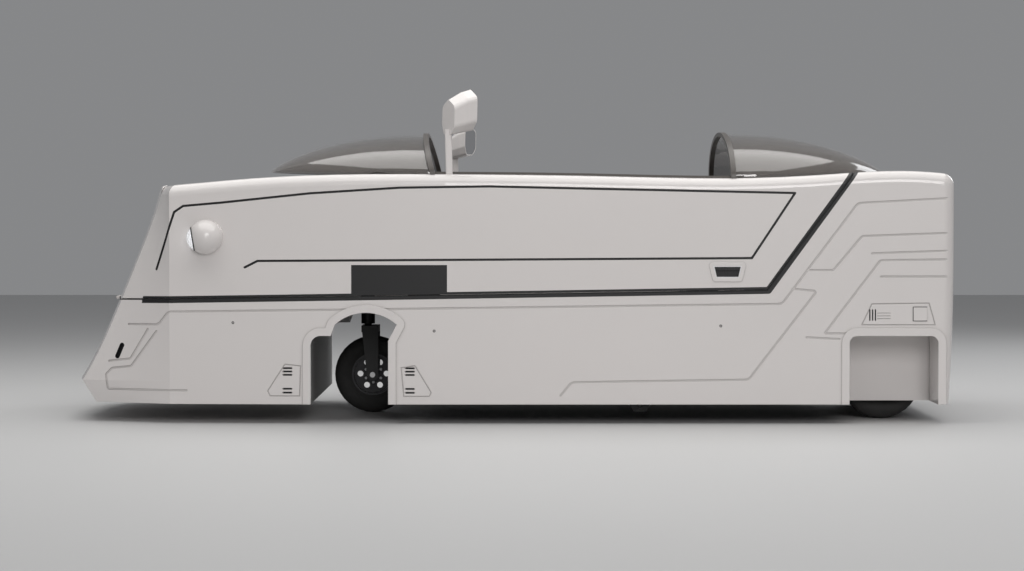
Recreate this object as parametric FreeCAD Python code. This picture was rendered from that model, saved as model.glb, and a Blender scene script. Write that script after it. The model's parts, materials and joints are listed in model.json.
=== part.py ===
import FreeCAD, Part
import math
import os

Vec = FreeCAD.Vector

# Driving sizes, front toward -X, left side toward -Y
body_length = 3200.0
body_width = 1200.0
deck_height = 908.0
ground_clearance = 70.0
wall = 24.0
cut_margin = 60.0
running_clearance = 0.05
seat_gap = 0.3

half_length = body_length / 2
half_width = body_width / 2
lamp_proud = 3.0
nose_x = -half_length
tail_x = half_length - lamp_proud
plan_top = deck_height + cut_margin

# Side view of the hull, as shares of body_length from the nose tip and of deck_height
deck_line_shares = (
    (-0.010, 0.925), (0.0922, 0.936), (0.221, 0.973), (0.4225, 0.987), (0.606, 0.979),
    (0.750, 0.971), (0.844, 0.983), (0.931, 1.0), (0.986, 0.991))
nose_line_shares = ((0.0, 0.165), (0.0425, 0.469), (0.0772, 0.770), (0.0922, 0.936), (0.0938, 0.962))
shoulder_radius = 40.0
tail_drop = 45.0
tail_tuck = 16.0
tail_tuck_height = 0.617 * deck_height

# Plan view of the hull
chin_height = 80.0
chin_setback = 50.0
nose_half_width = 0.375 * body_width
nose_bulge = 0.0148 * body_length
bend_x = nose_x + 0.1181 * body_length
bend_half_width = 0.4708 * body_width
taper_x = nose_x + 0.4281 * body_length

# Seam between the hinged upper shell and the lower body
seam_front_height = 438.0
seam_corner_x = 0.2884 * body_length
seam_corner_height = 477.0
seam_lean = 0.729
seam_gap = 6.0
tongue_end_x = tail_x - 147.0
tongue_end_half_width = 0.217 * body_width
tongue_start_half_width = 0.467 * body_width

# Cockpit opening and its trim
cockpit_front_x = -0.175 * body_length
cockpit_rear_x = 0.3 * body_length
cockpit_half_width = half_width - 64.0
cockpit_corner_radius = 120.0
coaming_width = 16.0
coaming_height = 9.0

# Clear bubbles and their hoops
front_hoop_x = -0.0888 * body_length
rear_hoop_x = 0.2549 * body_length
bubble_half_width = half_width - 52.0
front_bubble_rise = 154.0
rear_bubble_rise = 172.0
front_bubble_length = 0.1938 * body_length
rear_bubble_length = 0.1869 * body_length
bubble_glass = 6.0
bubble_rise_power = 0.8
bubble_plan_power = 0.5
bubble_stations = 7
hoop_depth = 18.0
hoop_thickness = 14.0
front_bubble_tilt = 1.2
rear_bubble_tilt = -2.0
front_hoop_lean_share = 0.26
rear_hoop_lean_share = 0.0
coaming_front_x = front_hoop_x + 16.0
coaming_rear_x = rear_hoop_x + 30.0

# Wheels
wheel_radius = 145.0
tyre_width = 90.0
tyre_bead_radius = 80.0
tyre_profile_shares = ((0.82, 0.0), (1.0, 0.35), (1.0, 0.62), (0.93, 0.86), (0.76, 1.0))
rim_width = 74.0
rim_thickness = 7.0
rim_disc = 8.0
rim_hole_radius = 11.0
rim_hole_count = 6
hub_radius = 26.0
axle_radius = 10.0
front_axle_x = -0.1616 * body_length
rear_axle_x = tail_x - 227.0
rear_track_half = 300.0

# Fork and steering head
steering_axis_x = front_axle_x - 20.0
fork_leg_gap = 60.0
fork_leg_thickness = 10.0
fork_leg_length = 44.0
crown_clearance = 16.0
crown_thickness = 24.0
stem_radius = 14.0
head_wall = 12.0
head_height = 126.0
head_gap = 6.0

# Front wheel bay and the arch cut in each side
bay_front_x = front_axle_x - 196.0
bay_rear_x = front_axle_x + 172.0
bay_height = 404.0
liner = 8.0
arch_step_x = front_axle_x - 123.0
arch_crown_start_x = front_axle_x - 108.0
arch_crown_mid_x = front_axle_x - 23.0
arch_crown_end_x = front_axle_x + 114.0
arch_rear_x = front_axle_x + 83.0
arch_low_height = 316.0
arch_crown_height = 397.0
arch_corner = 36.0

# Rear recesses
recess_front_x = rear_axle_x - 150.0
recess_rear_x = rear_axle_x + 168.0
recess_height = 316.0
recess_inner_side = rear_track_half + tyre_width
recess_corner_radius = 26.0
rear_bay_front_x = rear_axle_x - 190.0
rear_bay_rear_x = rear_axle_x + 190.0

# Lips, grooves and slots of the outer skin
lip_width = 28.0
lip_proud = 4.0
groove_width = 7.0
groove_depth = 2.5
slot_depth = 9.0
path_reach = 12.0

# Line work of the sides, as shares of body_length from mid-length and of deck_height
pin_shares = (
    (-0.3978, 0.610), (-0.3761, 0.837), (-0.3659, 0.861), (-0.3236, 0.874), (-0.2228, 0.911),
    (-0.1222, 0.933), (-0.0216, 0.938), (0.0791, 0.930), (0.2134, 0.920), (0.3197, 0.912),
    (0.2716, 0.6555), (-0.2822, 0.644), (-0.2966, 0.6185))
ledge_shares = (
    (-0.4309, 0.390), (-0.3952, 0.391), (-0.3832, 0.4425), (0.3052, 0.4745), (0.3900, 0.8720),
    (0.4897, 0.891))
moulding_shares = ((0.0575, 0.113), (0.0700, 0.165), (0.2680, 0.175), (0.3444, 0.5255), (0.3172, 0.534))
rear_line_shares = (
    ((0.3347, 0.608), (0.3628, 0.608), (0.3947, 0.742), (0.4897, 0.754)),
    ((0.4059, 0.674), (0.4897, 0.684)),
    ((0.3778, 0.358), (0.3531, 0.358), (0.4153, 0.6465), (0.4897, 0.650)),
    ((0.4163, 0.5825), (0.4897, 0.5825)),
    ((0.3331, 0.3425), (0.3697, 0.336)))
nose_panel_shares = (
    ((-0.3975, 0.3645), (-0.4275, 0.2235), (-0.4503, 0.2148), (-0.4575, 0.1894), (-0.4550, 0.131),
     (-0.3628, 0.131)),
    ((-0.4078, 0.3722), (-0.4284, 0.2533), (-0.4540, 0.2423)))
nose_slot_shares = ((-0.4388, 0.3060), (-0.4441, 0.2620))
nose_slot_width = 17.0

# Vent panels beside the arch, as distances from the front axle and heights
vent_front_outline = ((-232.0, 208.0), (-288.0, 214.0), (-350.0, 118.0), (-341.0, 100.0), (-235.0, 100.0))
vent_rear_outline = ((130.0, 202.0), (179.0, 209.0), (237.0, 113.0), (230.0, 99.0), (139.0, 99.0))
vent_slot_heights = (200.0, 188.0, 176.0, 126.0, 112.0)
vent_slot_width = 6.0
vent_slot_length = 30.0
vent_front_slot_x = front_axle_x - 279.0
vent_rear_slot_x = front_axle_x + 161.0

# Flap above the rear recess, as distances from the rear axle and heights
flap_outline = ((-71.0, 431.0), (-107.0, 356.0), (156.0, 356.0), (134.0, 434.0))
flap_slots_x = rear_axle_x - 68.0
flap_slot_pitch = 10.0
flap_slot_count = 3
flap_slot_width = 4.0
flap_slot_low = 372.0
flap_slot_high = 410.0
flap_mark_low = 378.0
flap_mark_pitch = 10.0
flap_mark_length = 46.0
flap_button_x = rear_axle_x + 102.0
flap_button_height = 395.0
flap_button_size = 50.0
flap_button_radius = 8.0

# Rear running gear
arm_half_spacing = 215.0
arm_thickness = 12.0
arm_depth = 46.0
arm_pivot_x = rear_axle_x - 220.0
beam_radius = 20.0
rail_half_spacing = 215.0
rail_width = 40.0
rail_height = 50.0
bracket_x = 0.1484 * body_length
bracket_length = 90.0
bracket_drop = 36.0
bracket_half_spacing = half_width - 150.0
bracket_thickness = 8.0
bracket_hole_radius = 7.0
motor_front_x = seam_corner_x + 55.0
motor_length = 185.0
motor_width = 300.0
motor_height = 230.0

# Floor and bulkhead
floor_thickness = 20.0
floor_front_x = bay_rear_x + 25.0
floor_rear_x = rear_axle_x - 200.0
bulkhead_thickness = 20.0
bulkhead_gap = 10.0

# Seat
seat_rear_x = rear_hoop_x - 176.0
seat_front_x = seat_rear_x - 400.0
seat_width = 470.0
seat_base_height = 180.0
seat_shell_thickness = 18.0
seat_back_length = 600.0
seat_back_angle = 22.0
seat_wing = 70.0
seat_wing_radius = 24.0
cushion_thickness = 80.0
cushion_round = 26.0

# Steering wheel, column, dash and pedals
hand_wheel_x = bay_rear_x + 405.0
hand_wheel_height = bay_height + 286.0
hand_wheel_radius = 155.0
hand_wheel_grip = 14.0
hand_wheel_hub = 34.0
column_angle = 34.0
column_radius = 22.0
shaft_radius = 12.0
shaft_length = 120.0
spoke_width = 26.0
spoke_thickness = 10.0
dash_x = bay_rear_x + 42.0
dash_half_width = 0.3167 * body_width
dash_top_height = deck_height - 108.0
dash_face_length = 210.0
dash_face_angle = 13.0
dash_thickness = 18.0
dash_hood = 120.0
dash_round = 30.0
dash_leg = 30.0
dash_leg_depth = 75.0
dash_leg_spacing = 190.0
pedal_x = bay_rear_x + 95.0
pedal_width = 70.0
pedal_plate = 80.0
pedal_thickness = 12.0
pedal_spacing = 90.0
pedal_arm_width = 16.0
pedal_arm_length = 170.0
pedal_arm_bow = 26.0
pedal_angle = 18.0

# Headlamps, tail lamps
pod_radius = 62.0
pod_x = -0.3403 * body_length
pod_height = deck_height - 237.0
pod_side = half_width - 15.0
pod_face = 46.0
pod_bore_radius = 32.0
pod_bore_depth = 30.0
lens_radius = 38.0
lens_base = 5.0
lens_spigot = 6.0
lens_bulge = 18.0
pod_droop = 9.0
pod_toe = 6.0
tail_lamp_height = deck_height - 151.0
tail_lamp_side = half_width - 100.0
tail_lamp_radius = 28.0
tail_lamp_depth = 10.0

# Mirrors on stalks at the cockpit edge
stalk_x = front_hoop_x + 70.0
stalk_side = half_width - 47.0
stalk_width = 25.0
stalk_thickness = 16.0
mirror_width = 118.0
mirror_height = 148.0
mirror_depth = 88.0
mirror_round = 22.0
mirror_yaw = 28.0
mirror_reach = 73.0
mirror_back_drop = 28.0
mirror_outline_shares = (
    (0.0, 1.0), (1.0, 0.62), (0.92, -0.6), (0.35, -1.0), (-0.75, -1.0), (-1.0, -0.5), (-0.9, 0.65))
mirror_section_shares = ((0.0, 1.0, 0.0), (0.4, 0.98, 0.3), (1.0, 0.85, 1.0))
mirror_glass = 3.0
mirror_rim = 5.0
left_mirror_height = deck_height + 219.5
right_mirror_height = deck_height + 135.0
left_mirror_share = 1.0
right_mirror_share = 0.8
mirror_stalk_drop = 70.0

# Flush handles
handle_x = seam_corner_x - 141.0
handle_height = seam_corner_height + 69.0
handle_width = 104.0
handle_tall = 44.0
handle_taper_share = 0.8
handle_depth = 20.0
handle_wall = 4.0
handle_lip = 13.0
handle_lip_proud = 2.0
handle_bar = 12.0

# Nose hinges
hinge_proud = 4.0
hinge_side = 110.0
hinge_knuckle_radius = 6.0
hinge_pin_radius = 3.0
hinge_knuckle_length = 26.0
hinge_leaf_length = 46.0
hinge_leaf_thickness = 5.0
hinge_x = nose_x + nose_line_shares[1][0] * body_length - hinge_proud
hinge_z = seam_front_height + seam_gap / 2


def box(x0, x1, y0, y1, z0, z1):
    return Part.makeBox(x1 - x0, y1 - y0, z1 - z0, Vec(x0, y0, z0))


def polygon_face(points):
    return Part.Face(Part.makePolygon(points + points[:1]))


def side_prism(points, y0, y1):
    face = polygon_face([Vec(x, y0, z) for x, z in points])
    return face.extrude(Vec(0, y1 - y0, 0))


def plan_prism(points, z0, z1):
    face = polygon_face([Vec(x, y, z0) for x, y in points])
    return face.extrude(Vec(0, 0, z1 - z0))


def arc(start, middle, end):
    return Part.Arc(start, middle, end).toShape()


def spline(points):
    curve = Part.BSplineCurve()
    curve.interpolate(points)
    return curve.toShape()


def mirrored(shape):
    return shape.mirror(Vec(0, 0, 0), Vec(0, 1, 0))


def both_sides(left):
    return Part.makeCompound([left, mirrored(left)])


def turned(shape, base, axis, angle):
    moved = shape.copy()
    moved.rotate(base, axis, angle)
    return moved


def rod(start, end, radius):
    run = end - start
    return Part.makeCylinder(radius, run.Length, start, run)


def cross_rod(x, y, z, length, radius):
    return Part.makeCylinder(radius, length, Vec(x, y, z), Vec(0, 1, 0))


def rounded_edges(shape, radius, chosen):
    return shape.makeFillet(radius, chosen)


def across(face):
    face.translate(Vec(0, -body_width, 0))
    return face.extrude(Vec(0, 2 * body_width, 0))


def side_point(shares, lift=0.0):
    return Vec(nose_x + shares[0] * body_length, 0, shares[1] * deck_height + lift)


# Places on the sides, from shares of body_length from mid-length and of deck_height
def line_points(shares):
    return [Vec(x * body_length, 0, z * deck_height) for x, z in shares]


# Open path in the side view, each corner rounded from the given distance before it
def rounded_path(points, reach):
    edges = []
    start = points[0]
    for before, corner, after in zip(points, points[1:], points[2:]):
        back = (before - corner).normalize()
        ahead = (after - corner).normalize()
        half = back.getAngle(ahead) / 2
        radius = reach * math.tan(half)
        inward = (back + ahead).normalize()
        middle = corner + inward * (radius / math.sin(half) - radius)
        edges.append(Part.makeLine(start, corner + back * reach))
        edges.append(arc(corner + back * reach, middle, corner + ahead * reach))
        start = corner + ahead * reach
    edges.append(Part.makeLine(start, points[-1]))
    return edges


# Prism across the car that follows an open, bent path at the given width
def path_prism(edges, width):
    outline = Part.Wire(edges).makeOffset2D(width / 2, 0)
    return across(Part.Face(outline))


# Prism across the car for a straight slot with round ends
def slot_prism(start, end, width):
    along = (end - start).normalize() * (width / 2)
    out = Vec(-along.z, 0, along.x)
    return across(Part.Face(Part.Wire([
        Part.makeLine(start + out, end + out),
        arc(end + out, end + along, end - out),
        Part.makeLine(end - out, start - out),
        arc(start - out, start - along, start + out)])))


def line_prism(points, reach, width):
    if len(points) == 2:
        return slot_prism(points[0], points[1], width)
    return path_prism(rounded_path(points, reach), width)


def ring_prism(points, width):
    wire = Part.makePolygon(points + points[:1])
    outside = across(Part.Face(wire.makeOffset2D(width / 2, 0)))
    inside = across(Part.Face(wire.makeOffset2D(-width / 2, 0)))
    return outside.cut(inside)


# Outer form of the hull, drawn in by inset on every side
def hull_plan(inset):
    half = half_width - inset
    bend_half = bend_half_width - inset
    low = Vec(bend_x, -bend_half, 0)
    middle_x = (bend_x + taper_x) / 2
    bow = (half - bend_half) * 3 / 4
    edges = [
        arc(low, Vec(middle_x, -bend_half - bow, 0), Vec(taper_x, -half, 0)),
        Part.makeLine(Vec(taper_x, -half, 0), Vec(tail_x - inset, -half, 0)),
        Part.makeLine(Vec(tail_x - inset, -half, 0), Vec(tail_x - inset, half, 0)),
        Part.makeLine(Vec(tail_x - inset, half, 0), Vec(taper_x, half, 0)),
        arc(Vec(taper_x, half, 0), Vec(middle_x, bend_half + bow, 0), Vec(bend_x, bend_half, 0)),
        Part.makeLine(Vec(bend_x, bend_half, 0), low)]
    return Part.Face(Part.Wire(edges))


def nose_section(setback, height, inset):
    tip = nose_x + setback + inset
    corner = tip + nose_bulge
    half = nose_half_width - inset
    bend_half = bend_half_width - inset
    root = bend_x + cut_margin
    edges = [
        Part.makeLine(Vec(bend_x, -bend_half, height), Vec(corner, -half, height)),
        arc(Vec(corner, -half, height), Vec(tip, 0, height), Vec(corner, half, height)),
        Part.makeLine(Vec(corner, half, height), Vec(bend_x, bend_half, height)),
        Part.makeLine(Vec(bend_x, bend_half, height), Vec(root, half, height)),
        Part.makeLine(Vec(root, half, height), Vec(root, -half, height)),
        Part.makeLine(Vec(root, -half, height), Vec(bend_x, -bend_half, height))]
    return Part.Wire(edges)


def hull_nose(inset):
    face_sections = [
        nose_section(x * body_length, z * deck_height, inset) for x, z in nose_line_shares]
    tip_height = nose_line_shares[0][1] * deck_height
    chin = Part.makeLoft([
        nose_section(chin_setback, tip_height - chin_height, inset),
        nose_section(0.0, tip_height, inset)], True, True)
    return Part.makeLoft(face_sections, True, False).fuse(chin)


def hull_side(inset):
    deck = [side_point(shares, -inset) for shares in deck_line_shares]
    tail_line = tail_x - inset
    deck_end = deck[-1]
    corner_low = Vec(tail_line, 0, deck_end.z - tail_drop)
    lean = math.sqrt(0.5)
    corner_middle = Vec(
        deck_end.x + (tail_line - deck_end.x) * lean, 0, deck_end.z - tail_drop * (1 - lean))
    floor = ground_clearance + inset
    tuck_top = Vec(tail_line, 0, tail_tuck_height)
    tuck_low = Vec(tail_line - tail_tuck, 0, floor)
    tuck_middle = Vec(tail_line - tail_tuck / 4, 0, (tail_tuck_height + floor) / 2)
    front_low = Vec(deck[0].x - body_width, 0, floor)
    front_top = Vec(front_low.x, 0, deck[0].z)
    return across(Part.Face(Part.Wire([
        Part.makeLine(front_top, deck[0]),
        spline(deck),
        arc(deck_end, corner_middle, corner_low),
        Part.makeLine(corner_low, tuck_top),
        arc(tuck_top, tuck_middle, tuck_low),
        Part.makeLine(tuck_low, front_low),
        Part.makeLine(front_low, front_top)])))


def hull_block(inset):
    low = nose_line_shares[0][1] * deck_height - chin_height
    plan = hull_plan(inset)
    plan.translate(Vec(0, 0, low))
    main = plan.extrude(Vec(0, 0, plan_top - low))
    return main.fuse(hull_nose(inset)).common(hull_side(inset)).removeSplitter()


def deck_edges(block):
    chosen = []
    for edge in block.Edges:
        middle = edge.valueAt((edge.FirstParameter + edge.LastParameter) / 2)
        high = middle.z > deck_height - 3 * shoulder_radius
        outboard = abs(middle.y) > nose_half_width
        along = abs(edge.BoundBox.XLength) > shoulder_radius / 4
        if high and outboard and along and edge.BoundBox.ZLength < edge.BoundBox.XLength * 2:
            chosen.append(edge)
    return chosen


def plain_hull():
    block = hull_block(0.0)
    return rounded_edges(block, shoulder_radius, deck_edges(block))


# Layer of the upright sides between two insets, up to the bend at the nose
def side_layer(outer_inset, inner_inset):
    ring = hull_plan(outer_inset).cut(hull_plan(inner_inset))
    ring.translate(Vec(0, 0, ground_clearance))
    return ring.extrude(Vec(0, 0, plan_top - ground_clearance))


# Outer layer of the sides and the nose to the given depth
def skin(depth):
    nose = hull_nose(0.0).cut(hull_nose(depth))
    ahead = box(nose_x - cut_margin, bend_x, -body_width, body_width, 0, plan_top)
    return side_layer(0.0, depth).fuse(nose.common(ahead))


# Space that the upper shell takes, grown by the seam gap for the lower body's cut
def shell_region(grow):
    front = nose_x - cut_margin
    slope = (seam_corner_height - seam_front_height) / (seam_corner_x - nose_x)
    low_front = seam_front_height + seam_gap - grow
    low_corner = seam_corner_height + seam_gap - grow
    spread = grow * math.hypot(1, seam_lean)
    over_top = plan_top - seam_corner_height
    points = [
        (front, low_front - slope * cut_margin),
        (seam_corner_x + grow / 2, low_corner),
        (seam_corner_x + spread + seam_lean * over_top, plan_top),
        (front, plan_top)]
    region = side_prism(points, -half_width - cut_margin, half_width + cut_margin)
    root_x = seam_corner_x + seam_lean * (deck_height - wall - seam_corner_height) - wall
    tongue = plan_prism([
        (root_x, -tongue_start_half_width - grow),
        (tongue_end_x + grow, -tongue_end_half_width - grow),
        (tongue_end_x + grow, tongue_end_half_width + grow),
        (root_x, tongue_start_half_width + grow)], deck_height - 2 * wall - grow, plan_top)
    return region.fuse(tongue)


def cockpit_plan(grow, front, rear):
    half = cockpit_half_width + grow
    block = box(front - grow, rear + grow, -half, half, seam_corner_height, plan_top + cut_margin)
    upright = [edge for edge in block.Edges if edge.BoundBox.ZLength > deck_height / 4]
    return rounded_edges(block, cockpit_corner_radius + grow, upright)


def arch_cut(grow):
    low = ground_clearance - cut_margin
    rise = math.sqrt(0.5) * arch_corner
    shoulder = (arch_low_height + arch_crown_height) / 2
    points = [
        Vec(bay_front_x, 0, low),
        Vec(bay_front_x, 0, arch_low_height - arch_corner),
        Vec(bay_front_x + arch_corner - rise, 0, arch_low_height - arch_corner + rise),
        Vec(bay_front_x + arch_corner, 0, arch_low_height),
        Vec(arch_step_x, 0, arch_low_height),
        Vec(arch_crown_start_x, 0, shoulder),
        Vec(arch_crown_mid_x, 0, arch_crown_height),
        Vec(arch_crown_end_x, 0, shoulder),
        Vec(arch_rear_x, 0, arch_low_height - arch_corner / 2),
        Vec(arch_rear_x, 0, low)]
    wire = Part.Wire([
        Part.makeLine(points[0], points[1]),
        arc(points[1], points[2], points[3]),
        Part.makeLine(points[3], points[4]),
        Part.makeLine(points[4], points[5]),
        arc(points[5], points[6], points[7]),
        Part.makeLine(points[7], points[8]),
        Part.makeLine(points[8], points[9]),
        Part.makeLine(points[9], points[0])])
    return across(Part.Face(wire.makeOffset2D(grow) if grow else wire))


def recess_cut(grow):
    low = ground_clearance - cut_margin
    block = box(
        recess_front_x - grow, recess_rear_x + grow, -half_width - cut_margin, half_width + cut_margin,
        low, recess_height + grow)
    top = [edge for edge in block.Edges
           if edge.BoundBox.YLength > half_width and edge.BoundBox.ZMin > ground_clearance]
    return rounded_edges(block, recess_corner_radius + grow, top)


# Trapezoid round the flush handle in the side view, grown outward
def handle_prism(grow):
    high = handle_width / 2
    low = high * handle_taper_share
    tall = handle_tall / 2
    points = [
        Vec(handle_x - high, 0, handle_height + tall), Vec(handle_x + high, 0, handle_height + tall),
        Vec(handle_x + low, 0, handle_height - tall), Vec(handle_x - low, 0, handle_height - tall)]
    wire = Part.makePolygon(points + points[:1])
    return across(Part.Face(wire.makeOffset2D(grow) if grow else wire))


# Raised lips round the arch, the recess, the handles and the flap's button
def make_lips():
    proud = side_layer(-lip_proud, 0.0)
    arch_lip = arch_cut(lip_width).cut(arch_cut(0.0))
    recess_lip = recess_cut(lip_width).cut(recess_cut(0.0))
    lips = proud.common(arch_lip.fuse(recess_lip))
    half = flap_button_size / 2
    button = box(
        flap_button_x - half, flap_button_x + half, -body_width, body_width,
        flap_button_height - half, flap_button_height + half)
    crossing = [edge for edge in button.Edges if edge.BoundBox.YLength > body_width]
    button = rounded_edges(button, flap_button_radius, crossing)
    low_proud = side_layer(-handle_lip_proud, 0.0)
    handle_rim = handle_prism(handle_lip).cut(handle_prism(0.0))
    return lips.fuse(low_proud.common(handle_rim.fuse(button)))


def from_axle(outline, axle_x):
    return [Vec(axle_x + x, 0, z) for x, z in outline]


def level_slot(x, height, length, width):
    return slot_prism(Vec(x - length / 2, 0, height), Vec(x + length / 2, 0, height), width)


# Incised lines on both sides
def make_grooves():
    shapes = [
        line_prism(line_points(shares), path_reach, groove_width)
        for shares in (pin_shares, ledge_shares, moulding_shares)]
    for shares in rear_line_shares + nose_panel_shares:
        shapes.append(line_prism(line_points(shares), path_reach / 2, groove_width))
    shapes.append(ring_prism(from_axle(vent_front_outline, front_axle_x), groove_width / 2))
    shapes.append(ring_prism(from_axle(vent_rear_outline, front_axle_x), groove_width / 2))
    shapes.append(ring_prism(from_axle(flap_outline, rear_axle_x), groove_width / 2))
    for step in range(flap_slot_count):
        shapes.append(level_slot(
            flap_slots_x + (flap_slot_count + 1) * flap_slot_pitch,
            flap_mark_low + step * flap_mark_pitch, flap_mark_length, flap_slot_width / 2))
    return shapes


# Deeper slots: the nose slot, the vents and the flap's upright slots
def make_slots():
    nose_slot = line_points(nose_slot_shares)
    shapes = [slot_prism(nose_slot[0], nose_slot[1], nose_slot_width)]
    for x in (vent_front_slot_x, vent_rear_slot_x):
        for height in vent_slot_heights:
            shapes.append(level_slot(x, height, vent_slot_length, vent_slot_width))
    for step in range(flap_slot_count):
        x = flap_slots_x + (step - 1) * flap_slot_pitch
        shapes.append(slot_prism(Vec(x, 0, flap_slot_low), Vec(x, 0, flap_slot_high), flap_slot_width))
    return shapes


def detailed_hull(outer):
    lips = make_lips()
    no_groove = arch_cut(lip_width).fuse(recess_cut(lip_width))
    groove_skin = skin(groove_depth).cut(no_groove)
    slot_skin = skin(slot_depth)
    cuts = [groove_skin.common(shape) for shape in make_grooves()]
    cuts += [slot_skin.common(shape) for shape in make_slots()]
    return outer.fuse(lips).cut(cuts)


# Inside the side walls, for what passes through the hull's floor
def floor_opening(x0, x1, z0, z1):
    column = hull_plan(wall)
    column.translate(Vec(0, 0, z0))
    column = column.extrude(Vec(0, 0, z1 - z0))
    return column.common(box(x0, x1, -half_width, half_width, z0, z1))


def make_lower_body(detailed, inner):
    body = detailed.cut(inner).cut(shell_region(seam_gap))
    low = ground_clearance - cut_margin
    above_floor = ground_clearance + wall + cut_margin
    body = body.cut(arch_cut(0.0))
    body = body.cut(recess_cut(0.0))
    for x0, x1 in (
            (bay_front_x - liner, bay_rear_x + liner),
            (floor_front_x, floor_rear_x),
            (rear_bay_front_x, rear_bay_rear_x)):
        body = body.cut(floor_opening(x0, x1, low, above_floor))
    for side in (-1, 1):
        socket = Part.makeCylinder(
            tail_lamp_radius, wall, Vec(tail_x - tail_lamp_depth, side * tail_lamp_side, tail_lamp_height),
            Vec(1, 0, 0))
        body = body.cut(socket)
    return body


def handle_slab():
    reach = half_width + handle_lip_proud
    left = box(nose_x, tail_x, -reach, handle_depth - reach, seam_front_height, deck_height)
    return both_sides(left)


def make_upper_shell(detailed, inner):
    shell = detailed.cut(inner).common(shell_region(0.0))
    shell = shell.cut(cockpit_plan(0.0, cockpit_front_x, cockpit_rear_x))
    return shell.cut(handle_prism(0.0).common(handle_slab()))


# Handle cups with a bar across, left open for the fingers above and below it
def make_handles():
    cup = handle_prism(0.0).common(handle_slab())
    reach = half_width + handle_lip_proud
    mouth = box(
        nose_x, tail_x, handle_depth - handle_wall - reach, reach - handle_depth + handle_wall,
        seam_front_height, deck_height)
    hollow = handle_prism(-handle_wall).cut(mouth)
    bar = box(
        nose_x, tail_x, -body_width, body_width,
        handle_height + handle_tall / 2 - handle_wall - handle_bar, handle_height + handle_tall / 2)
    return cup.cut(hollow.cut(bar))


def make_coaming(outer, standing):
    raised = outer.copy()
    raised.translate(Vec(0, 0, coaming_height))
    ring = cockpit_plan(coaming_width, cockpit_front_x, cockpit_rear_x)
    ring = ring.cut(cockpit_plan(0.0, cockpit_front_x, cockpit_rear_x))
    strip = ring.common(raised).cut(outer)
    high = box(
        coaming_front_x, coaming_rear_x, -half_width, half_width,
        deck_height - 4 * wall, plan_top)
    return strip.common(high).cut(standing)


# Clear bubble: half ellipses that shrink along its length, low at the tip and full in plan
def bubble_form(full_length, full_rise, offset):
    length = full_length - offset
    rise = full_rise - offset
    half = bubble_half_width - offset
    sections = []
    for step in range(bubble_stations):
        share = math.sin(step / bubble_stations * math.pi / 2)
        left = 1 - share * share
        centre = Vec(share * length, 0, 0)
        top = centre + Vec(0, 0, rise * left ** bubble_rise_power)
        side = Vec(0, half * left ** bubble_plan_power, 0)
        round_edge = Part.Ellipse(centre + side, top, centre).toShape(0, math.pi)
        ends = [round_edge.valueAt(round_edge.FirstParameter), round_edge.valueAt(round_edge.LastParameter)]
        sections.append(Part.Wire([round_edge, Part.makeLine(ends[1], ends[0])]))
    sections.append(Part.Vertex(Vec(length, 0, 0)))
    return Part.makeLoft(sections, True, False)


# Lean forward from the foot, then turn and set on the deck
def placed_bubble(shape, x, height, tilt, lean, backwards):
    leaning = FreeCAD.Matrix()
    leaning.A13 = lean
    moved = shape.transformGeometry(leaning)
    if backwards:
        moved.rotate(Vec(0, 0, 0), Vec(0, 0, 1), 180)
    moved.rotate(Vec(0, 0, 0), Vec(0, 1, 0), tilt)
    moved.translate(Vec(x, 0, height))
    return moved


def deck_level(x):
    share = (x - nose_x) / body_length
    for (x0, z0), (x1, z1) in zip(deck_line_shares, deck_line_shares[1:]):
        if x0 <= share <= x1:
            return (z0 + (z1 - z0) * (share - x0) / (x1 - x0)) * deck_height
    return deck_height


def make_bubble(outer, x, length, rise, tilt, lean, backwards):
    form = bubble_form(length, rise, 0.0).cut(bubble_form(length, rise, bubble_glass))
    return placed_bubble(form, x, deck_level(x), tilt, lean, backwards).cut(outer)


def make_hoop(outer, x, rise, tilt, lean, backwards):
    start = Vec(-hoop_depth, 0, 0)
    section = Part.makeCylinder(rise + hoop_thickness / 2, hoop_depth, start, Vec(1, 0, 0))
    bore = Part.makeCylinder(rise - hoop_thickness / 2, hoop_depth, start, Vec(1, 0, 0))
    stretch = FreeCAD.Matrix()
    stretch.scale(Vec(1, bubble_half_width / rise, 1))
    band = section.cut(bore).transformGeometry(stretch)
    return placed_bubble(band, x, deck_level(x), tilt, lean, backwards).cut(outer)




# Wheels
def tyre(x, y):
    half = tyre_width / 2
    tall = wheel_radius - tyre_bead_radius
    outer_side = [
        (y_share * half, tyre_bead_radius + r_share * tall) for y_share, r_share in tyre_profile_shares]
    inner_side = [(-across_y, radius) for across_y, radius in reversed(outer_side)]
    points = [Vec(0, across_y, radius) for across_y, radius in outer_side + inner_side]
    ring = polygon_face(points).revolve(Vec(0, 0, 0), Vec(0, 1, 0), 360)
    ring.translate(Vec(x, y, wheel_radius))
    return ring


def rim(x, y):
    low = y - rim_width / 2
    barrel = cross_rod(x, low, wheel_radius, rim_width, tyre_bead_radius)
    bore = cross_rod(x, low, wheel_radius, rim_width, tyre_bead_radius - rim_thickness)
    disc = cross_rod(x, y - rim_disc / 2, wheel_radius, rim_disc, tyre_bead_radius - rim_thickness / 2)
    hub = cross_rod(x, low, wheel_radius, rim_width, hub_radius)
    wheel = barrel.cut(bore).fuse(disc).fuse(hub)
    hole_circle = (hub_radius + tyre_bead_radius - rim_thickness) / 2
    for step in range(rim_hole_count):
        angle = 2 * math.pi * step / rim_hole_count
        wheel = wheel.cut(cross_rod(
            x + hole_circle * math.cos(angle), low, wheel_radius + hole_circle * math.sin(angle),
            rim_width, rim_hole_radius))
    shaft = cross_rod(x, low, wheel_radius, rim_width, axle_radius + running_clearance)
    return wheel.cut(shaft).removeSplitter()


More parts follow.
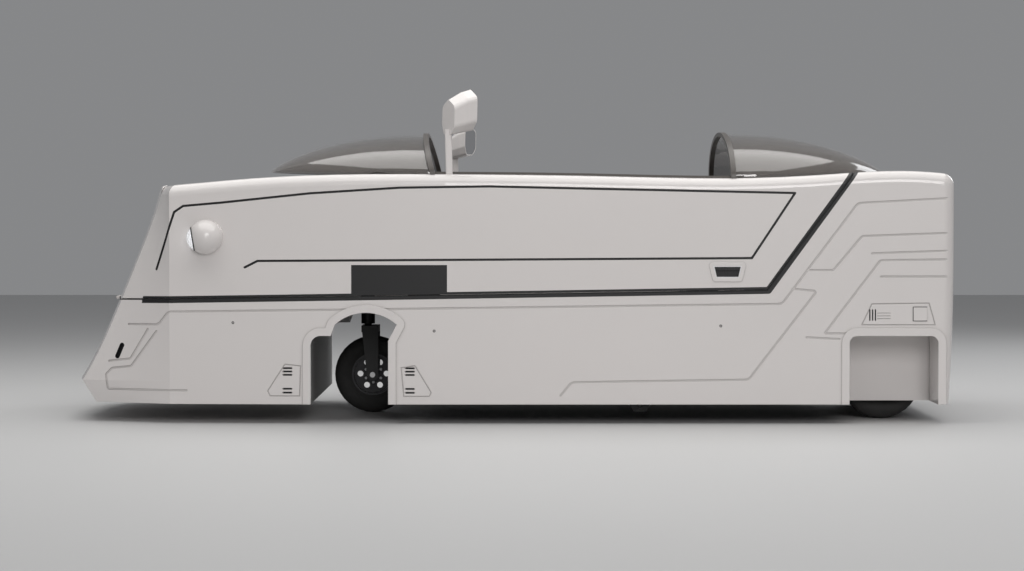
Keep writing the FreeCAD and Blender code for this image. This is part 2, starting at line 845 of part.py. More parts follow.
def make_fork():
    crown_low = 2 * wheel_radius + crown_clearance
    crown_top = crown_low + crown_thickness
    leg_out = fork_leg_gap + fork_leg_thickness
    half_leg = fork_leg_length / 2
    front = steering_axis_x - half_leg
    rear = front_axle_x + half_leg
    shape = box(front, rear, -leg_out, leg_out, crown_low, crown_top)
    for side in (-1, 1):
        y0 = min(side * fork_leg_gap, side * leg_out)
        foot = cross_rod(front_axle_x, y0, wheel_radius, fork_leg_thickness, half_leg)
        leg = side_prism([
            (front_axle_x - half_leg, wheel_radius), (front_axle_x + half_leg, wheel_radius),
            (rear, crown_top), (front, crown_top)], y0, y0 + fork_leg_thickness)
        hole = cross_rod(front_axle_x, y0, wheel_radius, fork_leg_thickness, axle_radius)
        shape = shape.fuse(leg.fuse(foot).cut(hole))
    stem = Part.makeCylinder(
        stem_radius, head_gap + head_height, Vec(steering_axis_x, 0, crown_top), Vec(0, 0, 1))
    return shape.fuse(stem).removeSplitter()


def make_front_axle():
    reach = fork_leg_gap + fork_leg_thickness + axle_radius
    return rod(Vec(front_axle_x, -reach, wheel_radius), Vec(front_axle_x, reach, wheel_radius), axle_radius)


def head_base():
    return 2 * wheel_radius + crown_clearance + crown_thickness + head_gap


def make_steering_head():
    base = Vec(steering_axis_x, 0, head_base())
    tube = Part.makeCylinder(stem_radius + head_wall, head_height, base)
    return tube.cut(Part.makeCylinder(stem_radius + running_clearance, head_height, base))


def make_front_bay():
    slope = bay_height - arch_low_height
    front = bay_front_x - liner
    rear = bay_rear_x + liner
    outline = [
        (front, ground_clearance), (front, arch_low_height), (front + slope, bay_height + liner),
        (rear, bay_height + liner), (rear, ground_clearance)]
    low = ground_clearance - cut_margin
    hollow = [
        (bay_front_x, low), (bay_front_x, arch_low_height - liner / 2),
        (bay_front_x + slope, bay_height), (bay_rear_x, bay_height), (bay_rear_x, low)]
    bay = side_prism(outline, -half_width, half_width).cut(side_prism(hollow, -half_width, half_width))
    head = Part.makeCylinder(
        stem_radius + head_wall, head_height, Vec(steering_axis_x, 0, head_base()))
    return bay.cut(head).common(floor_opening(front, rear, ground_clearance, deck_height))


def make_recess(side):
    outside = half_width - wall - seat_gap
    shell = box(
        recess_front_x - liner, recess_rear_x + liner, recess_inner_side - liner, outside,
        ground_clearance, recess_height + liner)
    hollow = box(
        recess_front_x, recess_rear_x, recess_inner_side, outside, ground_clearance, recess_height)
    piece = shell.cut(hollow)
    return piece if side > 0 else mirrored(piece)


def make_floor():
    return floor_opening(
        floor_front_x, floor_rear_x, ground_clearance, ground_clearance + floor_thickness)


def make_bulkhead():
    lean_length = math.hypot(1, seam_lean)
    low = ground_clearance + floor_thickness
    top = deck_height - wall * 3
    knee_x = seam_corner_x + (bulkhead_gap + seam_gap) * lean_length
    top_x = knee_x + seam_lean * (top - seam_corner_height)
    outline = [
        (knee_x, low), (knee_x, seam_corner_height), (top_x, top),
        (top_x + bulkhead_thickness * lean_length, top),
        (knee_x + bulkhead_thickness, seam_corner_height), (knee_x + bulkhead_thickness, low)]
    half = half_width - wall
    return side_prism(outline, -half, half).cut(make_rails())


def make_rails():
    low = ground_clearance + floor_thickness
    return both_sides(box(
        floor_front_x, arm_pivot_x, -rail_half_spacing - rail_width / 2, rail_width / 2 - rail_half_spacing,
        low, low + rail_height))


def make_brackets():
    low = ground_clearance - bracket_drop
    y = -bracket_half_spacing - bracket_thickness / 2
    plate = side_prism([
        (bracket_x - bracket_length / 2, ground_clearance),
        (bracket_x + bracket_length / 2, ground_clearance),
        (bracket_x + bracket_length / 4, low), (bracket_x - bracket_length / 4, low)],
        y, y + bracket_thickness)
    hole = cross_rod(bracket_x, y, (ground_clearance + low) / 2, bracket_thickness, bracket_hole_radius)
    return both_sides(plate.cut(hole))


def make_rear_axle():
    shoulder = rear_track_half - rim_width / 2 - running_clearance
    stub = rear_track_half + rim_width / 2 + axle_radius
    beam = cross_rod(rear_axle_x, -shoulder, wheel_radius, 2 * shoulder, beam_radius)
    return beam.fuse(cross_rod(rear_axle_x, -stub, wheel_radius, 2 * stub, axle_radius))


def make_arms():
    y = -arm_half_spacing - arm_thickness / 2
    half = arm_depth / 2
    arm = side_prism([
        (arm_pivot_x, wheel_radius - half), (rear_axle_x, wheel_radius - half),
        (rear_axle_x, wheel_radius + half), (arm_pivot_x, wheel_radius + half)], y, y + arm_thickness)
    eye = cross_rod(rear_axle_x, y, wheel_radius, arm_thickness, arm_depth)
    bore = cross_rod(rear_axle_x, y, wheel_radius, arm_thickness, beam_radius)
    return both_sides(arm.fuse(eye).cut(bore))


def make_motor():
    low = ground_clearance + floor_thickness
    half = motor_width / 2
    return box(motor_front_x, motor_front_x + motor_length, -half, half, low, low + motor_height)


# Point on the seat back's middle line, from the distance up it and the distance forward of it
def back_point(up, forward):
    angle = math.radians(seat_back_angle)
    along = Vec(math.sin(angle), 0, math.cos(angle))
    rearward = Vec(math.cos(angle), 0, -math.sin(angle))
    foot = Vec(seat_rear_x, 0, seat_base_height) + rearward * (seat_shell_thickness / 2)
    return foot + along * up - rearward * forward


def make_seat_shell():
    half = seat_width / 2
    thick = seat_shell_thickness
    angle = math.radians(seat_back_angle)
    pan = seat_base_height - thick / 2
    knee = back_point(thick / 2 * (math.sin(angle) - 1) / math.cos(angle), 0)
    lip = Vec(seat_front_x + thick / 2, 0, pan - thick)
    front = Vec(seat_front_x + thick, 0, pan)
    band = path_prism(rounded_path([lip, front, knee, back_point(seat_back_length, 0)], thick), thick)
    seat = band.common(box(nose_x, tail_x, -half, half, ground_clearance, deck_height))
    wing_points = [
        Vec(seat_front_x + seat_wing / 2, 0, pan),
        Vec(seat_front_x + seat_wing, 0, seat_base_height + seat_wing / 2),
        Vec(seat_rear_x - seat_wing, 0, seat_base_height + seat_wing),
        back_point(seat_back_length / 3, seat_wing), back_point(seat_back_length * 4 / 5, seat_wing / 3),
        back_point(seat_back_length * 9 / 10, 0), knee]
    wing = polygon_face(wing_points)
    wing.translate(Vec(0, -half, 0))
    wing = wing.extrude(Vec(0, thick, 0))
    crossing = [edge for edge in wing.Edges
                if edge.BoundBox.YLength > thick / 2 and edge.BoundBox.ZMin > seat_base_height + thick
                and edge.BoundBox.XMax < wing_points[5].x - thick]
    wing = rounded_edges(wing, seat_wing_radius, crossing)
    low = ground_clearance + floor_thickness + rail_height
    runner = box(
        seat_front_x + seat_wing, seat_rear_x - seat_wing,
        -rail_half_spacing - thick / 2, thick / 2 - rail_half_spacing, low, pan)
    return seat.fuse(both_sides(wing)).fuse(both_sides(runner)).removeSplitter()


def cushion_half():
    return seat_width / 2 - seat_shell_thickness - seat_gap


def make_cushion():
    half = cushion_half()
    pad = box(
        seat_front_x + seat_shell_thickness, seat_rear_x - cushion_thickness, -half, half,
        seat_base_height + seat_gap, seat_base_height + cushion_thickness)
    return rounded_edges(pad, cushion_round, pad.Edges)


def make_back_cushion():
    half = cushion_half()
    pad = box(
        seat_rear_x - cushion_thickness - seat_gap, seat_rear_x - seat_gap, -half, half,
        seat_base_height + cushion_round, seat_base_height + seat_back_length - cushion_round)
    pad = rounded_edges(pad, cushion_round, pad.Edges)
    return turned(pad, Vec(seat_rear_x, 0, seat_base_height), Vec(0, 1, 0), seat_back_angle)


# Column axis runs from the bay up and back to the hand wheel
def column_direction():
    angle = math.radians(column_angle)
    return Vec(math.cos(angle), 0, math.sin(angle))


def hand_wheel_centre():
    return Vec(hand_wheel_x, 0, hand_wheel_height)


def make_column():
    direction = column_direction()
    top = hand_wheel_centre() - direction * hand_wheel_hub
    length = (top.z - bay_height + column_radius) / direction.z
    tube = rod(top - direction * length, top, column_radius)
    tube = tube.cut(rod(top - direction * (shaft_length + head_gap), top, shaft_radius + running_clearance))
    return tube.cut(box(
        bay_front_x, top.x, -half_width, half_width, ground_clearance, bay_height + liner))


def make_hand_wheel():
    centre = hand_wheel_centre()
    direction = column_direction()
    ring = Part.makeTorus(hand_wheel_radius, hand_wheel_grip, centre, direction)
    hub = rod(centre - direction * (hand_wheel_hub - head_gap), centre, hand_wheel_hub)
    shaft = rod(centre - direction * (hand_wheel_hub + shaft_length), centre, shaft_radius)
    wheel = ring.fuse(hub).fuse(shaft)
    for angle in (0, 180, 270):
        spoke = box(
            0, hand_wheel_radius, -spoke_width / 2, spoke_width / 2,
            -spoke_thickness / 2, spoke_thickness / 2)
        spoke.rotate(Vec(0, 0, 0), Vec(0, 0, 1), angle + 90)
        spoke.rotate(Vec(0, 0, 0), Vec(0, 1, 0), 90 - column_angle)
        spoke.translate(centre - direction * spoke_thickness)
        wheel = wheel.fuse(spoke)
    return wheel


# Dash: a folded panel with a lower shelf, a leaning face and a hood, on two legs
def make_dash():
    angle = math.radians(dash_face_angle)
    top = dash_top_height - dash_thickness / 2
    low = top - dash_face_length * math.cos(angle)
    face_low = Vec(dash_x, 0, low)
    face_top = Vec(dash_x + dash_face_length * math.sin(angle), 0, top)
    shelf = Vec(dash_x - dash_leg_depth, 0, low)
    hood = Vec(face_top.x - dash_hood, 0, top)
    panel = path_prism(rounded_path([shelf, face_low, face_top, hood], dash_round), dash_thickness)
    panel = panel.common(box(
        nose_x, tail_x, -dash_half_width, dash_half_width, bay_height, deck_height))
    leg = box(
        dash_x - dash_leg_depth, dash_x - dash_leg_depth + dash_leg,
        -dash_leg_spacing - dash_leg / 2, dash_leg / 2 - dash_leg_spacing, bay_height + liner, low)
    return panel.fuse(both_sides(leg)).removeSplitter()


def make_pedals():
    floor_top = ground_clearance + floor_thickness
    foot = Vec(pedal_x, 0, floor_top - pedal_thickness)
    knee = Vec(pedal_x - pedal_arm_bow, 0, floor_top + pedal_arm_length / 2)
    top = Vec(pedal_x, 0, floor_top + pedal_arm_length)
    arm = path_prism(rounded_path([foot, knee, top], pedal_arm_bow), pedal_thickness)
    arm = arm.common(box(
        nose_x, tail_x, -pedal_spacing - pedal_arm_width / 2, pedal_arm_width / 2 - pedal_spacing,
        floor_top, deck_height))
    pad = box(
        0, pedal_thickness, -pedal_width / 2, pedal_width / 2, -pedal_plate / 2, pedal_plate / 2)
    across_edges = [edge for edge in pad.Edges if edge.BoundBox.XLength > pedal_thickness / 2]
    pad = rounded_edges(pad, pedal_thickness, across_edges)
    pad.rotate(Vec(0, 0, 0), Vec(0, 1, 0), -pedal_angle)
    pad.translate(Vec(top.x, -pedal_spacing, top.z))
    return both_sides(arm.fuse(pad))


# Headlamp pods: balls half let into the side, with a bore for the lens
def pod_frame(shape, side):
    shape.rotate(Vec(0, 0, 0), Vec(0, 1, 0), -pod_droop)
    shape.rotate(Vec(0, 0, 0), Vec(0, 0, 1), pod_toe)
    shape.translate(Vec(pod_x, -pod_side, pod_height))
    return shape if side < 0 else mirrored(shape)


def make_pod(outer, side):
    ball = Part.makeSphere(pod_radius, Vec(0, 0, 0), Vec(0, 1, 0), -90, 90, 360)
    front = box(-2 * pod_radius, -pod_face, -pod_radius, pod_radius, -pod_radius, pod_radius)
    bore = rod(Vec(-pod_face, 0, 0), Vec(pod_bore_depth - pod_face, 0, 0), pod_bore_radius)
    return pod_frame(ball.cut(front).cut(bore), side).cut(outer)


def make_lens(outer, side):
    spigot = pod_bore_radius - seat_gap
    base = -pod_face - lens_base
    dome_radius = (lens_radius ** 2 + lens_bulge ** 2) / (2 * lens_bulge)
    lean = math.asin(lens_radius / dome_radius) / 2
    dome_middle = Vec(
        base - lens_bulge + dome_radius * (1 - math.cos(lean)), 0, dome_radius * math.sin(lean))
    profile = Part.Wire([
        Part.makeLine(Vec(lens_spigot - pod_face, 0, 0), Vec(lens_spigot - pod_face, 0, spigot)),
        Part.makeLine(Vec(lens_spigot - pod_face, 0, spigot), Vec(-pod_face, 0, spigot)),
        Part.makeLine(Vec(-pod_face, 0, spigot), Vec(-pod_face, 0, lens_radius)),
        Part.makeLine(Vec(-pod_face, 0, lens_radius), Vec(base, 0, lens_radius)),
        arc(Vec(base, 0, lens_radius), dome_middle, Vec(base - lens_bulge, 0, 0)),
        Part.makeLine(Vec(base - lens_bulge, 0, 0), Vec(lens_spigot - pod_face, 0, 0))])
    lens = Part.Face(profile).revolve(Vec(0, 0, 0), Vec(1, 0, 0), 360)
    return pod_frame(lens, side).cut(outer)


def make_tail_lamps():
    return both_sides(Part.makeCylinder(
        tail_lamp_radius, tail_lamp_depth + lamp_proud,
        Vec(tail_x - tail_lamp_depth, -tail_lamp_side, tail_lamp_height), Vec(1, 0, 0)))


# Mirrors: outward is the local Y, and the glass faces back and inward
def mirror_wire(side, depth_share, size_share, drop_share):
    half = mirror_width / 2 * size_share - mirror_round
    tall = mirror_height / 2 * size_share - mirror_round
    points = [
        Vec(-mirror_depth * depth_share, side * u * half, z * tall - drop_share * mirror_back_drop)
        for u, z in mirror_outline_shares]
    return Part.makePolygon(points + points[:1]).makeOffset2D(mirror_round)


def mirror_frame(shape, side, height):
    share = left_mirror_share if side < 0 else right_mirror_share
    moved = turned(shape, Vec(0, 0, 0), Vec(0, 0, 1), -side * mirror_yaw)
    moved.scale(share)
    inboard = share * mirror_depth * math.sin(math.radians(mirror_yaw))
    moved.translate(Vec(stalk_x + share * mirror_reach, side * (stalk_side - inboard), height))
    return moved


def glass_plate(side):
    face = Part.Face(mirror_wire(side, 0.0, 1.0, 0.0).makeOffset2D(-mirror_rim))
    return face.extrude(Vec(-mirror_glass, 0, 0))


def make_mirror_head(side, height):
    wires = [mirror_wire(side, *shares) for shares in mirror_section_shares]
    head = Part.makeLoft(wires, True, True).cut(glass_plate(side))
    return mirror_frame(head, side, height)


def make_mirror_glass(side, height):
    return mirror_frame(glass_plate(side), side, height)


def make_stalk(outer, head, glass, side, top):
    low = deck_height - 3 * wall
    half = stalk_width / 2
    lean = stalk_width / 5
    post = side_prism([
        (stalk_x - half, low), (stalk_x + half, low),
        (stalk_x + half - lean, top), (stalk_x - half - lean, top)],
        side * stalk_side - stalk_thickness / 2, side * stalk_side + stalk_thickness / 2)
    upright = [edge for edge in post.Edges if edge.BoundBox.ZLength > stalk_width]
    post = rounded_edges(post, stalk_thickness / 3, upright)
    return post.cut(outer).cut(head).cut(glass)


# Hinges at the nose: fixed knuckles with the pin, and moving knuckles on the shell
def knuckle_and_leaf(low, high, leaf_low):
    knuckle = cross_rod(hinge_x, low, hinge_z, high - low, hinge_knuckle_radius)
    leaf = box(
        hinge_x - hinge_leaf_thickness / 2, hinge_x + hinge_leaf_length, low, high,
        leaf_low, leaf_low + hinge_knuckle_radius / 2)
    return knuckle.fuse(leaf)


def make_hinge_brackets(outer):
    span = hinge_knuckle_length * 3
    shape = cross_rod(hinge_x, -hinge_side - span / 2, hinge_z, span, hinge_pin_radius)
    for shift in (-1, 1):
        low = -hinge_side + (shift - 1 / 2) * hinge_knuckle_length + seat_gap
        high = low + hinge_knuckle_length - 2 * seat_gap
        shape = shape.fuse(knuckle_and_leaf(low, high, hinge_z - hinge_knuckle_radius))
    return both_sides(shape.cut(outer))


def make_hinge_arms(outer):
    low = -hinge_side - hinge_knuckle_length / 2
    shape = knuckle_and_leaf(low, low + hinge_knuckle_length, hinge_z + hinge_knuckle_radius / 2)
    hole = cross_rod(hinge_x, low, hinge_z, hinge_knuckle_length, hinge_pin_radius + running_clearance)
    return both_sides(shape.cut(hole).cut(outer))


def build():
    outer = plain_hull()
    detailed = detailed_hull(outer)
    inner = hull_block(wall)
    left_head = make_mirror_head(-1, left_mirror_height)
    right_head = make_mirror_head(1, right_mirror_height)
    left_glass = make_mirror_glass(-1, left_mirror_height)
    right_glass = make_mirror_glass(1, right_mirror_height)
    stalks = Part.makeCompound([
        make_stalk(outer, left_head, left_glass, -1, left_mirror_height - mirror_stalk_drop),
        make_stalk(outer, right_head, right_glass, 1, right_mirror_height - right_mirror_share * mirror_stalk_drop)])
    front_lean = (front_bubble_tilt, front_hoop_lean_share, True)
    rear_lean = (rear_bubble_tilt, rear_hoop_lean_share, False)
    front_hoop = make_hoop(outer, front_hoop_x, front_bubble_rise, *front_lean)
    rear_hoop = make_hoop(outer, rear_hoop_x, rear_bubble_rise, *rear_lean)
    front_bubble = make_bubble(outer, front_hoop_x, front_bubble_length, front_bubble_rise, *front_lean)
    rear_bubble = make_bubble(outer, rear_hoop_x, rear_bubble_length, rear_bubble_rise, *rear_lean)
    standing = [stalks, front_hoop, rear_hoop, front_bubble, rear_bubble]
    return {
        "lower_body": make_lower_body(detailed, inner),
        "upper_shell": make_upper_shell(detailed, inner),
        "floor_pan": make_floor(),
        "front_bay": make_front_bay(),
        "rear_recess_left": make_recess(-1),
        "rear_recess_right": make_recess(1),
        "rear_bulkhead": make_bulkhead(),
        "chassis_rails": make_rails(),
        "tie_down_brackets": make_brackets(),
        "motor_block": make_motor(),
        "seat_shell": make_seat_shell(),
        "seat_cushion": make_cushion(),
        "back_cushion": make_back_cushion(),
        "dash_panel": make_dash(),
        "steering_column": make_column(),
        "steering_wheel": make_hand_wheel(),
        "pedals": make_pedals(),
        "steering_head": make_steering_head(),
        "front_fork": make_fork(),
        "front_axle": make_front_axle(),
        "front_rim": rim(front_axle_x, 0.0),
        "front_tyre": tyre(front_axle_x, 0.0),
        "rear_axle": make_rear_axle(),
        "rear_arms": make_arms(),
        "rear_rim_left": rim(rear_axle_x, -rear_track_half),
        "rear_rim_right": rim(rear_axle_x, rear_track_half),
        "rear_tyre_left": tyre(rear_axle_x, -rear_track_half),
        "rear_tyre_right": tyre(rear_axle_x, rear_track_half),
        "cockpit_coaming": make_coaming(outer, standing),
        "front_bubble": front_bubble,
        "rear_bubble": rear_bubble,
        "front_hoop": front_hoop,
        "rear_hoop": rear_hoop,
        "headlamp_left": make_pod(outer, -1),
        "headlamp_right": make_pod(outer, 1),
        "headlamp_lens_left": make_lens(outer, -1),
        "headlamp_lens_right": make_lens(outer, 1),
        "tail_lamps": make_tail_lamps(),
        "mirror_stalks": stalks,
        "mirror_head_left": left_head,
        "mirror_head_right": right_head,
        "mirror_glasses": Part.makeCompound([left_glass, right_glass]),
        "flush_handles": make_handles(),
        "hinge_brackets": make_hinge_brackets(outer),
        "hinge_arms": make_hinge_arms(outer)}


os.makedirs("parts", exist_ok=True)
for node, shape in build().items():
    print(node, len(shape.Solids), shape.isValid(), round(shape.Volume))
    shape.exportStep("parts/" + node + ".step")
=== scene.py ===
import bpy
import bmesh
import json
import math
from mathutils import Vector, Matrix
from mathutils.bvhtree import BVHTree


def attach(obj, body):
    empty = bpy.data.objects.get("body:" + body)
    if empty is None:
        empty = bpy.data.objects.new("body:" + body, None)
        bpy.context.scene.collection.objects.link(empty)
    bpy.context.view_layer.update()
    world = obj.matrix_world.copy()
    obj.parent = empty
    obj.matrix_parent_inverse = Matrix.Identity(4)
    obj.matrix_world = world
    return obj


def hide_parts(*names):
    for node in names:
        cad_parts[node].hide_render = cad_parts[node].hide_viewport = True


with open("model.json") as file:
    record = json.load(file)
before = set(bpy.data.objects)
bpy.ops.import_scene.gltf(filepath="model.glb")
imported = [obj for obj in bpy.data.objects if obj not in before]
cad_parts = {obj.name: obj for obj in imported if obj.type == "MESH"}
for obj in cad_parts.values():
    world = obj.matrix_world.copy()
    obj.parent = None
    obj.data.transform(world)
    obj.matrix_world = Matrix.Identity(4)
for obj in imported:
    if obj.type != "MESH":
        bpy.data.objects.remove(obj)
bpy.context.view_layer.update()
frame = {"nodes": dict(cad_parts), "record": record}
nodes = frame["nodes"]
print("frame loaded:", len(nodes), "nodes")


# Shader maths on sockets: + - * / and comparisons make Math nodes
class Field:
    def __init__(self, tree, socket):
        self.tree = tree
        self.socket = socket

    def math(self, operation, *others):
        return self.tree.node("ShaderNodeMath", {"operation": operation}, [self, *others])

    def __add__(self, other):
        return self.math("ADD", other)

    def __radd__(self, other):
        return self.math("ADD", other)

    def __sub__(self, other):
        return self.math("SUBTRACT", other)

    def __rsub__(self, other):
        return self.tree.node("ShaderNodeMath", {"operation": "SUBTRACT"}, [other, self])

    def __mul__(self, other):
        return self.math("MULTIPLY", other)

    def __rmul__(self, other):
        return self.math("MULTIPLY", other)

    def __truediv__(self, other):
        return self.math("DIVIDE", other)

    def __rtruediv__(self, other):
        return self.tree.node("ShaderNodeMath", {"operation": "DIVIDE"}, [other, self])

    def __lt__(self, other):
        return self.math("LESS_THAN", other)

    def __gt__(self, other):
        return self.math("GREATER_THAN", other)

    def least(self, other):
        return self.math("MINIMUM", other)

    def most(self, other):
        return self.math("MAXIMUM", other)

    def size(self):
        return self.math("ABSOLUTE")

    def root(self):
        return self.math("SQRT")

    def within(self, low, high):
        return (self > low) * (self < high)


# A material's node tree, with one call for any node
class Finish:
    def __init__(self, name):
        self.material = bpy.data.materials.new(name)
        self.material.use_nodes = True
        self.links = self.material.node_tree.links
        self.shader = self.material.node_tree.nodes["Principled BSDF"]
        self.place = self.node("ShaderNodeTexCoord", {}, {}, "Object")
        self.x, self.y, self.z = self.split(self.place)

    def split(self, vector):
        parts = self.node("ShaderNodeSeparateXYZ", {}, [vector])
        return [Field(self, out) for out in parts.socket.node.outputs]

    def node(self, kind, settings, inputs, output=0):
        made = self.material.node_tree.nodes.new(kind)
        for key, value in settings.items():
            setattr(made, key, value)
        named = inputs.items() if isinstance(inputs, dict) else enumerate(inputs)
        for key, value in named:
            if isinstance(value, Field):
                self.links.new(value.socket, made.inputs[key])
            else:
                made.inputs[key].default_value = value
        return Field(self, made.outputs[output])

    def noise(self, scale, detail, rough):
        inputs = {"Vector": self.place, "Scale": scale, "Detail": detail, "Roughness": rough}
        return self.node("ShaderNodeTexNoise", {}, inputs)

    def cells(self, scale):
        return self.node(
            "ShaderNodeTexVoronoi", {"feature": "SMOOTH_F1"}, {"Vector": self.place, "Scale": scale})

    def waves(self, value, pitch):
        return (value * (2 * math.pi / pitch)).math("SINE") * 0.5 + 0.5

    def mix(self, factor, first, second):
        return self.node(
            "ShaderNodeMix", {"data_type": "RGBA"}, {0: factor, 6: first, 7: second}, 2)

    def bump(self, height, strength, distance, **more):
        inputs = {"Strength": strength, "Distance": distance, "Height": height, **more}
        return self.node("ShaderNodeBump", {}, inputs)

    def softEdges(self, radius):
        return self.node("ShaderNodeBevel", {"samples": 6}, {"Radius": radius})

    # Ambient occlusion, strongest deep in creases, used for painted shade
    def creases(self, reach):
        return 1.0 - self.node(
            "ShaderNodeAmbientOcclusion", {"samples": 6, "only_local": True}, {"Distance": reach}, 1)

    def normal(self):
        return self.split(self.node("ShaderNodeTexCoord", {}, {}, "Normal"))

    def shade(self, **sockets):
        names = {
            "colour": "Base Color", "rough": "Roughness", "metal": "Metallic", "coat": "Coat Weight",
            "coatRough": "Coat Roughness", "alpha": "Alpha", "normal": "Normal", "ior": "IOR",
            "glow": "Emission Color", "glowStrength": "Emission Strength", "sheen": "Sheen Weight"}
        for key, value in sockets.items():
            socket = self.shader.inputs[names[key]]
            if isinstance(value, Field):
                self.links.new(value.socket, socket)
            else:
                socket.default_value = value
        return self.material


def colour(red, green, blue):
    return (red, green, blue, 1.0)


# Black paint on the hull, as lines and boxes in the side view
paint = {
    "stripe": ((-1.50, 0.4408), (0.9285, 0.4795), (1.2480, 0.9180)), "stripeHalf": 0.0125,
    "stripeStart": -1.335, "bodyLength": 3.2, "deckHeight": 0.908,  # pin line: shares of these two
    "pin": ((-0.3978, 0.610), (-0.3761, 0.837), (-0.3659, 0.861), (-0.3236, 0.874), (-0.2228, 0.911),
            (-0.1222, 0.933), (-0.0216, 0.938), (0.0791, 0.930), (0.2134, 0.920), (0.3197, 0.912),
            (0.2716, 0.6555), (-0.2822, 0.644), (-0.2966, 0.6185)),
    "pinHalf": 0.0042, "tagX": (-0.5664, -0.2227), "tagZ": (0.4600, 0.5705),
    "ventX": (-0.7961, -0.3561), "ventHeights": (0.200, 0.188, 0.176, 0.126, 0.112),
    "ventHalf": (0.015, 0.0032),
    "flapX": (1.292, 1.302, 1.312), "flapZ": (0.372, 0.410), "flapHalf": 0.0022,
    "button": ((1.4968, 0.4200), (1.4470, 0.4200), (1.4470, 0.3700), (1.4968, 0.3700)),
    "buttonHalf": 0.0013,
    "noseSlot": ((-1.4042, 0.2778), (-1.4211, 0.2379)), "noseHalf": 0.0087, "noseSideStart": 0.42,
    "topLimit": 0.9025, "sideStart": 0.50, "inwardLimit": -0.03}


def nearLine(finish, start, end):
    along = (end[0] - start[0], end[1] - start[1])
    length = math.hypot(*along)
    unit = (along[0] / length, along[1] / length)
    dx = finish.x - start[0]
    dz = finish.z - start[1]
    onto = (dx * unit[0] + dz * unit[1]).most(0.0).least(length)
    awayX = dx - onto * unit[0]
    awayZ = dz - onto * unit[1]
    return (awayX * awayX + awayZ * awayZ).root()


def nearPath(finish, points):
    nearest = nearLine(finish, points[0], points[1])
    for start, end in zip(points[1:], points[2:]):
        nearest = nearest.least(nearLine(finish, start, end))
    return nearest


def paintBlack(finish):
    outward = finish.normal()[1] * finish.y > paint["inwardLimit"]
    onSide = outward * (finish.y.size() > paint["sideStart"]) * (finish.z < paint["topLimit"])
    black = nearPath(finish, paint["stripe"]) < paint["stripeHalf"]
    black = black * (finish.x > paint["stripeStart"])
    pinPath = [(x * paint["bodyLength"], z * paint["deckHeight"]) for x, z in paint["pin"]]
    black = black.most(nearPath(finish, pinPath) < paint["pinHalf"])
    black = black.most(finish.x.within(*paint["tagX"]) * finish.z.within(*paint["tagZ"]))
    halfLong, halfTall = paint["ventHalf"]
    for middle in paint["ventX"]:
        near = (finish.x - middle).size() < halfLong
        for height in paint["ventHeights"]:
            black = black.most(near * ((finish.z - height).size() < halfTall))
    for middle in paint["flapX"]:
        near = (finish.x - middle).size() < paint["flapHalf"]
        black = black.most(near * finish.z.within(*paint["flapZ"]))
    black = black.most(nearPath(finish, paint["button"]) < paint["buttonHalf"])
    slot = nearLine(finish, *paint["noseSlot"]) < paint["noseHalf"]
    slot = slot * (finish.y.size() > paint["noseSideStart"])
    return (black * onSide).most(slot)


# White gelcoat: faint clouds, painted shade darkening the grooves and creases, edges that catch the
# light
gelcoat = {
    "white": (colour(0.700, 0.668, 0.655), colour(0.718, 0.687, 0.674)),
    # the next colour is painted shade, laid into grooves and creases
    "paintedShade": colour(0.36, 0.335, 0.325), "black": colour(0.006, 0.006, 0.007),
    "creaseReach": 0.012, "creaseShare": 1.1, "edgeRadius": 0.0025}


def whiteGelcoat():
    finish = Finish("whiteGelcoat")
    cloud = finish.noise(2.2, 4.0, 0.6)
    dust = finish.noise(140.0, 4.0, 0.6)
    peel = finish.noise(420.0, 2.0, 0.5)
    base = finish.mix(cloud, *gelcoat["white"])
    # Painted shade: ambient occlusion darkens the colour in grooves and creases
    paintedShade = finish.creases(gelcoat["creaseReach"]) * gelcoat["creaseShare"]
    base = finish.mix(paintedShade, base, gelcoat["paintedShade"])
    black = paintBlack(finish)
    base = finish.mix(black, base, gelcoat["black"])
    rough = 0.25 + dust * 0.03 + black * 0.20
    edges = finish.softEdges(gelcoat["edgeRadius"])
    return finish.shade(
        colour=base, rough=rough, normal=finish.bump(peel, 0.04, 0.001, Normal=edges),
        coat=0.5 - black * 0.45, coatRough=0.08)


def plainFinish(name, first, second, rough, grain, bump, **sockets):
    finish = Finish(name)
    cloud = finish.noise(grain / 12, 4.0, 0.6)
    fine = finish.noise(grain, 4.0, 0.6)
    return finish.shade(
        colour=finish.mix(cloud, first, second), rough=rough[0] + fine * (rough[1] - rough[0]),
        normal=finish.bump(fine, *bump), **sockets)


def leatherFinish(name, first, second):
    finish = Finish(name)
    cloud = finish.noise(9.0, 4.0, 0.6)
    pebble = finish.cells(620.0)
    crease = finish.noise(70.0, 5.0, 0.65)
    height = pebble * 0.7 + crease * 0.5
    return finish.shade(
        colour=finish.mix(cloud, first, second), rough=0.38 + crease * 0.2,
        normal=finish.bump(height, 0.45, 0.0008), sheen=0.15)


def laminateFinish():
    finish = Finish("floorLaminate")
    studs = finish.waves(finish.x + finish.y, 0.022) * finish.waves(finish.x - finish.y, 0.022)
    cloud = finish.noise(6.0, 4.0, 0.6)
    fine = finish.noise(320.0, 3.0, 0.6)
    return finish.shade(
        colour=finish.mix(cloud, colour(0.075, 0.075, 0.08), colour(0.12, 0.12, 0.125)),
        rough=0.5 + fine * 0.3, normal=finish.bump(studs * 0.8 + fine * 0.3, 0.4, 0.0015))


# Smoked sheet of the bubbles
smoke = {"tint": (colour(0.135, 0.118, 0.105), colour(0.185, 0.165, 0.150)), "alpha": 0.50, "ior": 2.1}


def smokedSheet():
    finish = Finish("smokedSheet")
    cloud = finish.noise(3.0, 3.0, 0.5)
    haze = finish.noise(160.0, 4.0, 0.6)
    ripple = finish.noise(4.0, 2.0, 0.4)
    return finish.shade(
        colour=finish.mix(cloud, *smoke["tint"]), rough=0.06 + haze * 0.012, alpha=smoke["alpha"],
        coat=1.0, coatRough=0.03, ior=smoke["ior"], normal=finish.bump(ripple, 0.05, 0.004))


